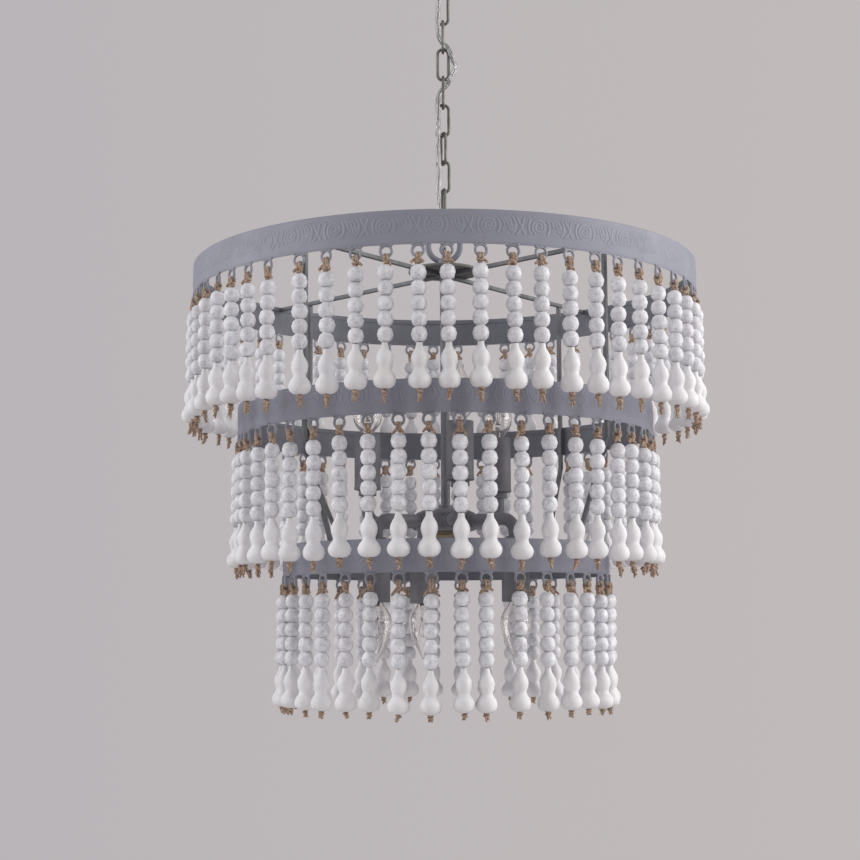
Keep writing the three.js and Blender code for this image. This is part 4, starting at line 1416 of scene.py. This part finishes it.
def canopy_loop_foot(chain):
    """Hollow nipple with its flange under the canopy."""
    top = highest("canopy_loop")
    flange = lowest("canopy") - 0.3 * MM
    bottom = flange - 5.7 * MM
    bore = chain.cord / 2 + CORD_ROOM
    outline = [(bore, bottom)]
    outline += profile(flange, (7, -5.7), (7, -3), (9.6, -3), (10, -2.6), (10, -0.4), (9.6, 0))
    step = (top - flange - 3 * MM) / THREAD_TURNS
    for number in range(THREAD_TURNS):
        height = flange + number * step
        outline += [(6.6 * MM, height), (7 * MM, height + step * 0.3), (7 * MM, height + step * 0.6),
                    (6.6 * MM, height + step * 0.9)]
    return [*outline, (6.6 * MM, top), (bore, top), (bore, bottom)]


def make_cord(chain):
    """The supply cord, cut in the middle of each link so that each stretch spans one joint."""
    line = smoothed([Vector(place) * MM for place in CORD_ROUTE], CORD_STEPS)
    chain_bodies = ["ceiling_fitting", *[f"link_{number}" for number in range(1, LINK_COUNT + 1)], "fixture"]
    cuts = [centre(f"chain_link_{number}").z for number in range(1, LINK_COUNT + 1)]
    cuts.append(lowest("hang_loop") + HANG_CUT)
    cuts.append(line[-1].z)
    pivots = [joint["pos_m"][2] for joint in frame["joints"] if joint["child"] in chain_bodies]
    start = line[0]
    for number, cut in enumerate(cuts):
        stretch = [start, *[point for point in line if start.z > point.z > cut + MERGE]]
        stop = point_at(line, cut)
        stretch.append(stop)
        piece = cord_stretch(stretch, chain)
        name = f"cord_{number + 1}"
        if number < len(pivots):
            pick(piece)
            piece.name = name
            bpy.ops.object.shade_smooth_by_angle(angle=math.radians(60))
            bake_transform(piece)
            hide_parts("supply_cord")
        else:
            dressed(piece, name, "fixture", ["supply_cord"], angle=60)
        start = stop


def point_at(line, height):
    """The place where a falling line passes a height."""
    for above, below in zip(line, line[1:]):
        if above.z >= height >= below.z:
            share = (above.z - height) / max(above.z - below.z, POLE)
            return above.lerp(below, share)
    return line[-1].copy()


def cord_stretch(stretch, chain):
    """Clear sheath with two twisted conductors inside."""
    sheath = wire([stretch], chain.cord / 2, 12)
    sheath.data.materials.append(clear_plastic())
    lines = []
    for side in (0, math.pi):
        line = []
        for place in stretch:
            angle = side + place.z / CORD_TWIST * 2 * math.pi
            line.append(place + Vector((math.cos(angle), math.sin(angle), 0)) * CONDUCTOR_REACH)
        lines.append(line)
    conductors = wire(lines, CONDUCTOR_RADIUS, 8)
    conductors.data.materials.append(tinned_wire())
    return joined([sheath, conductors])


class CHANDELIER_OT_chain(bpy.types.Operator):
    """Makes the chain, its two loops and the supply cord"""

    bl_idname = "chandelier.chain"
    bl_label = "Chain"

    def execute(self, context):
        chain = settings().chain
        make_links(chain)
        foot = hang_loop_foot(chain)
        make_loop("hang_loop", "hang_ring", "fixture", foot, zinc_paint(), chain)
        foot = canopy_loop_foot(chain)
        make_loop("canopy_loop", "canopy_ring", "ceiling_fitting", foot, chain_metal(), chain)
        make_cord(chain)
        return {"FINISHED"}


# Canopy, strap and screws

def make_canopy():
    """Spun cup with a rolled foot and a round shoulder."""
    radius = reach("canopy")
    bottom = lowest("canopy")
    hole = 7.3 * MM
    wall = 1.2 * MM
    corner = 16 * MM
    outline = [(hole, bottom), *arc(radius - corner, bottom + corner, corner, -90, 0, 10)]
    outline += [(radius, -5 * MM), (radius - 0.6 * MM, -4.4 * MM), (radius, -3.8 * MM), (radius, 0)]
    outline += [(radius - wall, 0)]
    outline += list(reversed(arc(radius - corner, bottom + corner, corner - wall, -90, 0, 10)))
    outline += [(hole, bottom + wall), (hole, bottom)]
    canopy = turned(outline, 72)
    dressed(canopy, "canopy_cup", "ceiling_fitting", ["canopy"], canopy_metal(), angle=40)


def make_screw(node, name):
    """Pan-head screw with a slot."""
    low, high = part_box(node)
    place = (low + high) / 2
    head = (high.x - low.x) / 2
    shank = 2 * MM
    head_top = low.z + 2.5 * MM
    outline = [(0, low.z), (head * 0.6, low.z), (head * 0.9, low.z + 0.7 * MM), (head, low.z + 1.6 * MM),
               (head, head_top), (shank, head_top)]
    height = head_top
    while height < high.z - 1.2 * MM:
        outline += [(shank * 0.82, height + 0.3 * MM), (shank, height + 0.7 * MM)]
        height += 0.8 * MM
    outline += [(shank * 0.7, high.z), (0, high.z)]
    screw = turned(outline, 20)
    pick()
    bpy.ops.mesh.primitive_cube_add(size=1, location=(0, 0, low.z), scale=(head * 3, 1 * MM, 2.4 * MM))
    cutter = bpy.context.object
    settle(cutter)
    apply_modifier(screw, "BOOLEAN", operation="DIFFERENCE", object=cutter, solver="EXACT")
    scrapped(cutter)
    screw.data.transform(Matrix.Translation((place.x, place.y, 0)))
    dressed(screw, name, "ceiling_fitting", [node], canopy_metal(), angle=30)


class CHANDELIER_OT_canopy(bpy.types.Operator):
    """Makes the ceiling canopy, the strap and its screws"""

    bl_idname = "chandelier.canopy"
    bl_label = "Canopy"

    def execute(self, context):
        make_canopy()
        strap = copy_of_node("mounting_strap", 0.3 * MM)
        dressed(strap, "strap_plate", "ceiling_fitting", ["mounting_strap"], canopy_metal())
        make_screw("canopy_screw_left", "screw_left")
        make_screw("canopy_screw_right", "screw_right")
        return {"FINISHED"}


# Hub disc, cross arms and drop bars

HUB_BORE = 3.3 * MM


class CHANDELIER_OT_bars(bpy.types.Operator):
    """Makes the hub disc, the cross arms and the drop bars"""

    bl_idname = "chandelier.bars"
    bl_label = "Bars"

    def execute(self, context):
        low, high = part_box("hub_disc")
        radius = reach("hub_disc")
        edge = 0.8 * MM
        outline = [
            (HUB_BORE, low.z), *arc(radius - edge, low.z + edge, edge, -90, 0, 3),
            *arc(radius - edge, high.z - edge, edge, 0, 90, 3), (HUB_BORE, high.z), (HUB_BORE, low.z),
        ]
        disc = turned(outline, 72)
        dressed(disc, "hub_plate", "fixture", ["hub_disc"], disc_paint())
        for where in QUARTERS:
            for kind in ("cross_arm", "drop_bar"):
                node = f"{kind}_{where}"
                bar = copy_of_node(node, 0.45 * MM)
                dressed(bar, f"{kind}_steel_{where}", "fixture", [node], shaded_bar_metal(), angle=20)
        return {"FINISHED"}


# Lamp stem, hub, arms, sleeves and bulbs

HUB_SIDES = 56

# How far the arms' centre lines lie below the hub's top
ARM_DEPTH = 12 * MM
ARM_RADIUS = 6 * MM
ARM_ELBOW = 14 * MM
ELBOW_STEPS = 8
SLEEVE_HEIGHT = 56 * MM
SOCKET_TOP = 32 * MM

# Outlines in millimetres above the sleeve's foot, as pairs of radius and height
BULB_OUTLINE = (
    (6.1, 50), (6.2, 56), (7.2, 59), (10.7, 63.5), (13.6, 69), (14.8, 75), (14.2, 82), (11.8, 90),
    (8.2, 98), (4.6, 105), (2.2, 109.5), (0.9, 112), (0, 113),
)
MOUNT_OUTLINE = (
    (0, 50.5), (5, 50.5), (3.6, 55), (2.6, 60), (2.3, 68), (2.6, 71), (1.6, 73), (0, 73.4),
)

# The filament: its twists, the steps of one, and in millimetres its span, height, arch and coil's radius
COIL_TWISTS = 18
COIL_STEPS = 6
COIL_SPAN = 8.4
COIL_HEIGHT = 86
COIL_ARCH = 4
COIL_RADIUS = 0.45


def lamp_place(place):
    """Matrix of one lamp: the origin at its sleeve's foot, Z along the sleeve towards the bulb."""
    low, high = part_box(f"lamp_sleeve_{place}")
    middle = (low + high) / 2
    turn = facing(math.atan2(middle.x, -middle.y))
    if place.startswith("up"):
        return Matrix.Translation((middle.x, middle.y, low.z)) @ turn
    return Matrix.Translation((middle.x, middle.y, high.z)) @ turn @ Matrix.Rotation(math.pi, 4, "Y")


def arm_level():
    """Height of the arms' centre lines."""
    return highest("lamp_hub") - ARM_DEPTH


def make_stem():
    """Hollow tube with a nut at each end."""
    low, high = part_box("lamp_stem")
    outer = 4.5 * MM
    outline = [(HUB_BORE, low.z), (outer, low.z)]
    for foot, side in ((low.z, 1), (high.z, -1)):
        nut = [(outer, foot), (7 * MM, foot + side * 0.2 * MM), (7 * MM, foot + side * 4 * MM),
               (outer, foot + side * 4.4 * MM)]
        outline += nut if side > 0 else list(reversed(nut))
    outline += [(HUB_BORE, high.z), (HUB_BORE, low.z)]
    dressed(turned(outline, 36), "stem_tube", "fixture", ["lamp_stem"], dark_paint())


def make_hub():
    """Turned body with a domed top, and a grooved brass cap below it."""
    low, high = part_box("lamp_hub")
    radius = reach("lamp_hub")
    middle = arm_level()
    cap_top = low.z + 4 * MM
    body = [
        (0, cap_top), *profile(cap_top, (20, 0), (22.5, 0.6)), (radius - 1 * MM, middle - 8.5 * MM),
        (radius, middle - 7.5 * MM), (radius, middle + 7 * MM), (radius - 0.9 * MM, middle + 8.2 * MM),
        *profile(high.z, (24, -1.4), (21, -0.3), (10, 0)), (HUB_BORE, high.z),
        (HUB_BORE, high.z - 8 * MM), (0, high.z - 8 * MM),
    ]
    dressed(turned(body, HUB_SIDES), "lamp_hub_body", "fixture", ["lamp_hub"], dark_paint())
    cap = profile(low.z, (0, 0), (3, 0), (4, 0.8), (9, 0.8), (10, 0), (19.5, 0), (21, 0.8), (21, 1.4),
                  (20.2, 1.8), (21, 2.3))
    cap += profile(cap_top, (21, -0.4), (20.4, 0), (0, 0))
    dressed(turned(cap, HUB_SIDES), "lamp_hub_cap", "fixture", ["lamp_hub"], brass_cap())


def make_arm(place):
    """Bent tube from the hub to the sleeve, with a collar at each end."""
    matrix = lamp_place(place)
    foot = matrix.to_translation()
    level = abs(foot.z - arm_level())
    start = foot.xy.length - (reach("lamp_hub") + 0.3 * MM)
    line = [(0, start, -level), (0, ARM_ELBOW + 2 * MM, -level)]
    for step in range(ELBOW_STEPS + 1):
        angle = math.pi / 2 * step / ELBOW_STEPS
        line.append((0, ARM_ELBOW - ARM_ELBOW * math.sin(angle), -level + ARM_ELBOW * (1 - math.cos(angle))))
    line.append((0, 0, -0.3 * MM))
    tube = wire([line], ARM_RADIUS, 20)
    nut = turned([(ARM_RADIUS, -6 * MM), *profile(0, (8.6, -6), (9, -5.4), (9, -1), (8.6, -0.3)),
                  (ARM_RADIUS, -0.3 * MM), (ARM_RADIUS, -6 * MM)], 24)
    collar = turned([(ARM_RADIUS, 0), *profile(0, (8, 0), (8, 2), (7.2, 3)), (ARM_RADIUS, 3 * MM),
                     (ARM_RADIUS, 0)], 32)
    collar.data.transform(Matrix.Translation((0, start, -level)) @ Matrix.Rotation(math.pi / 2, 4, "X"))
    arm = joined([tube, nut, collar])
    arm.data.transform(matrix)
    dressed(arm, f"arm_tube_{place}", "fixture", [f"lamp_arm_{place}"], dark_paint())


def make_sleeve(place):
    """Candle sleeve with a seat ring, open at the top round its socket."""
    outer = 13.5 * MM
    edge = 0.5 * MM
    top = SLEEVE_HEIGHT
    outline = [
        (0, 0), *arc(outer - edge, edge, edge, -90, 0, 2), (outer, 3 * MM),
        (outer - 0.4 * MM, 3.4 * MM), (outer - 0.4 * MM, top - edge), (outer - 0.7 * MM, top),
        (outer - 1.5 * MM, top), (outer - 1.7 * MM, top - 4 * MM), (8.4 * MM, top - 4 * MM),
        (8 * MM, top - 4.4 * MM), (8 * MM, SOCKET_TOP), (0, SOCKET_TOP),
    ]
    sleeve = turned(outline, settings().lamps.sides)
    sleeve.data.transform(lamp_place(place))
    dressed(sleeve, f"sleeve_{place}", "fixture", [f"lamp_sleeve_{place}"], dark_paint())


def bulb_envelope():
    """Flame-shaped glass with its wall, and the glass mount inside it."""
    outline = smooth_outline(profile(0, *BULB_OUTLINE), 3)
    outline = [(max(radius, 0), height) for radius, height in outline]
    glass = turned(outline, settings().lamps.sides)
    apply_modifier(glass, "SOLIDIFY", thickness=settings().lamps.glass_wall, offset=-1)
    return joined([glass, turned(profile(0, *MOUNT_OUTLINE), 20)])


def bulb_base():
    """Screw cap with a round thread and a centre contact."""
    cap = profile(0, (0, 32.6), (2.2, 32.6), (2.6, 33.4), (4.6, 34.2), (5.4, 36))
    height = 36 * MM
    while height < 47 * MM:
        cap += profile(height, (5.6, 0.4), (6.2, 1.1), (5.6, 1.8))
        height += 2.2 * MM
    cap += profile(0, (6.25, 48.6), (6.3, 52.5), (6.05, 52.6), (5.6, 50.4), (0, 50.4))
    return turned(cap, 28)


def bulb_filament():
    """Two leads, a middle support and the coiled filament that arches over them."""
    leads = [[Vector(point) * MM for point in
              ((side * 1.2, 0, 70), (side * 1.8, 0, 75), (side * 4.2, 0, 84), (side * 4.2, 0, 86))]
             for side in (1, -1)]
    leads.append([Vector(point) * MM for point in ((0, 0, 72), (0, 0, 88), (0, 0.8, 89))])
    spring = []
    for step in range(COIL_TWISTS * COIL_STEPS + 1):
        share = step / (COIL_TWISTS * COIL_STEPS)
        angle = share * COIL_TWISTS * 2 * math.pi
        arch = COIL_HEIGHT + COIL_ARCH * math.sin(share * math.pi)
        spring.append(Vector((COIL_SPAN / 2 - COIL_SPAN * share, COIL_RADIUS * math.cos(angle),
                              arch + COIL_RADIUS * math.sin(angle))) * MM)
    return joined([wire(leads, 0.28 * MM, 6), wire([spring], 0.14 * MM, 4)])


def make_bulb(place):
    """Clear bulb: its glass, its screw cap and its filament, each a piece of its own."""
    matrix = lamp_place(place)
    body = f"bulb_{place}"
    for build, kind, slot, finish, angle in ((bulb_envelope, "glass", "bulb_glass", bulb_glass, 60),
                                             (bulb_base, "cap", "bulb_cap", plated_cap, 50),
                                             (bulb_filament, "filament", "bulb_cap", filament_metal, 60)):
        piece = build()
        piece.data.transform(matrix)
        dressed(piece, f"bulb_{kind}_{place}", body, [body], finish(), angle=angle)


class CHANDELIER_OT_lamps(bpy.types.Operator):
    """Makes the lamp stem, hub, arms, sleeves and bulbs"""

    bl_idname = "chandelier.lamps"
    bl_label = "Lamps"

    def execute(self, context):
        make_stem()
        make_hub()
        for place in LAMP_PLACES:
            make_arm(place)
            make_sleeve(place)
            make_bulb(place)
        return {"FINISHED"}


class CHANDELIER_PT_panel(bpy.types.Panel):
    """Lists the steps in the order in which they are run"""

    bl_idname = "CHANDELIER_PT_panel"
    bl_label = "Chandelier"
    bl_space_type = "VIEW_3D"
    bl_region_type = "UI"
    bl_category = "Chandelier"

    def draw(self, context):
        for step in STEPS:
            self.layout.operator(step.bl_idname)
        for name in ("stage", "bands", "strands", "chain", "lamps"):
            group = getattr(context.scene.chandelier, name)
            box = self.layout.box()
            for key in group.bl_rna.properties.keys():
                if key not in ("rna_type", "name"):
                    box.prop(group, key)


STEPS = (CHANDELIER_OT_stage, CHANDELIER_OT_chain, CHANDELIER_OT_canopy, CHANDELIER_OT_bars,
         CHANDELIER_OT_bands, CHANDELIER_OT_strands, CHANDELIER_OT_lamps)
GROUPS = (StageSettings, BandSettings, StrandSettings, ChainSettings, LampSettings, ChandelierSettings)


def register():
    for kind in (*GROUPS, *STEPS, CHANDELIER_PT_panel):
        bpy.utils.register_class(kind)
    bpy.types.Scene.chandelier = PointerProperty(type=ChandelierSettings)


def unregister():
    del bpy.types.Scene.chandelier
    for kind in reversed((*GROUPS, *STEPS, CHANDELIER_PT_panel)):
        bpy.utils.unregister_class(kind)


def main():
    register()
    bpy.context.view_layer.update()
    for step in STEPS:
        family, name = step.bl_idname.split(".")
        getattr(getattr(bpy.ops, family), name)()


if __name__ == "__main__":
    main()
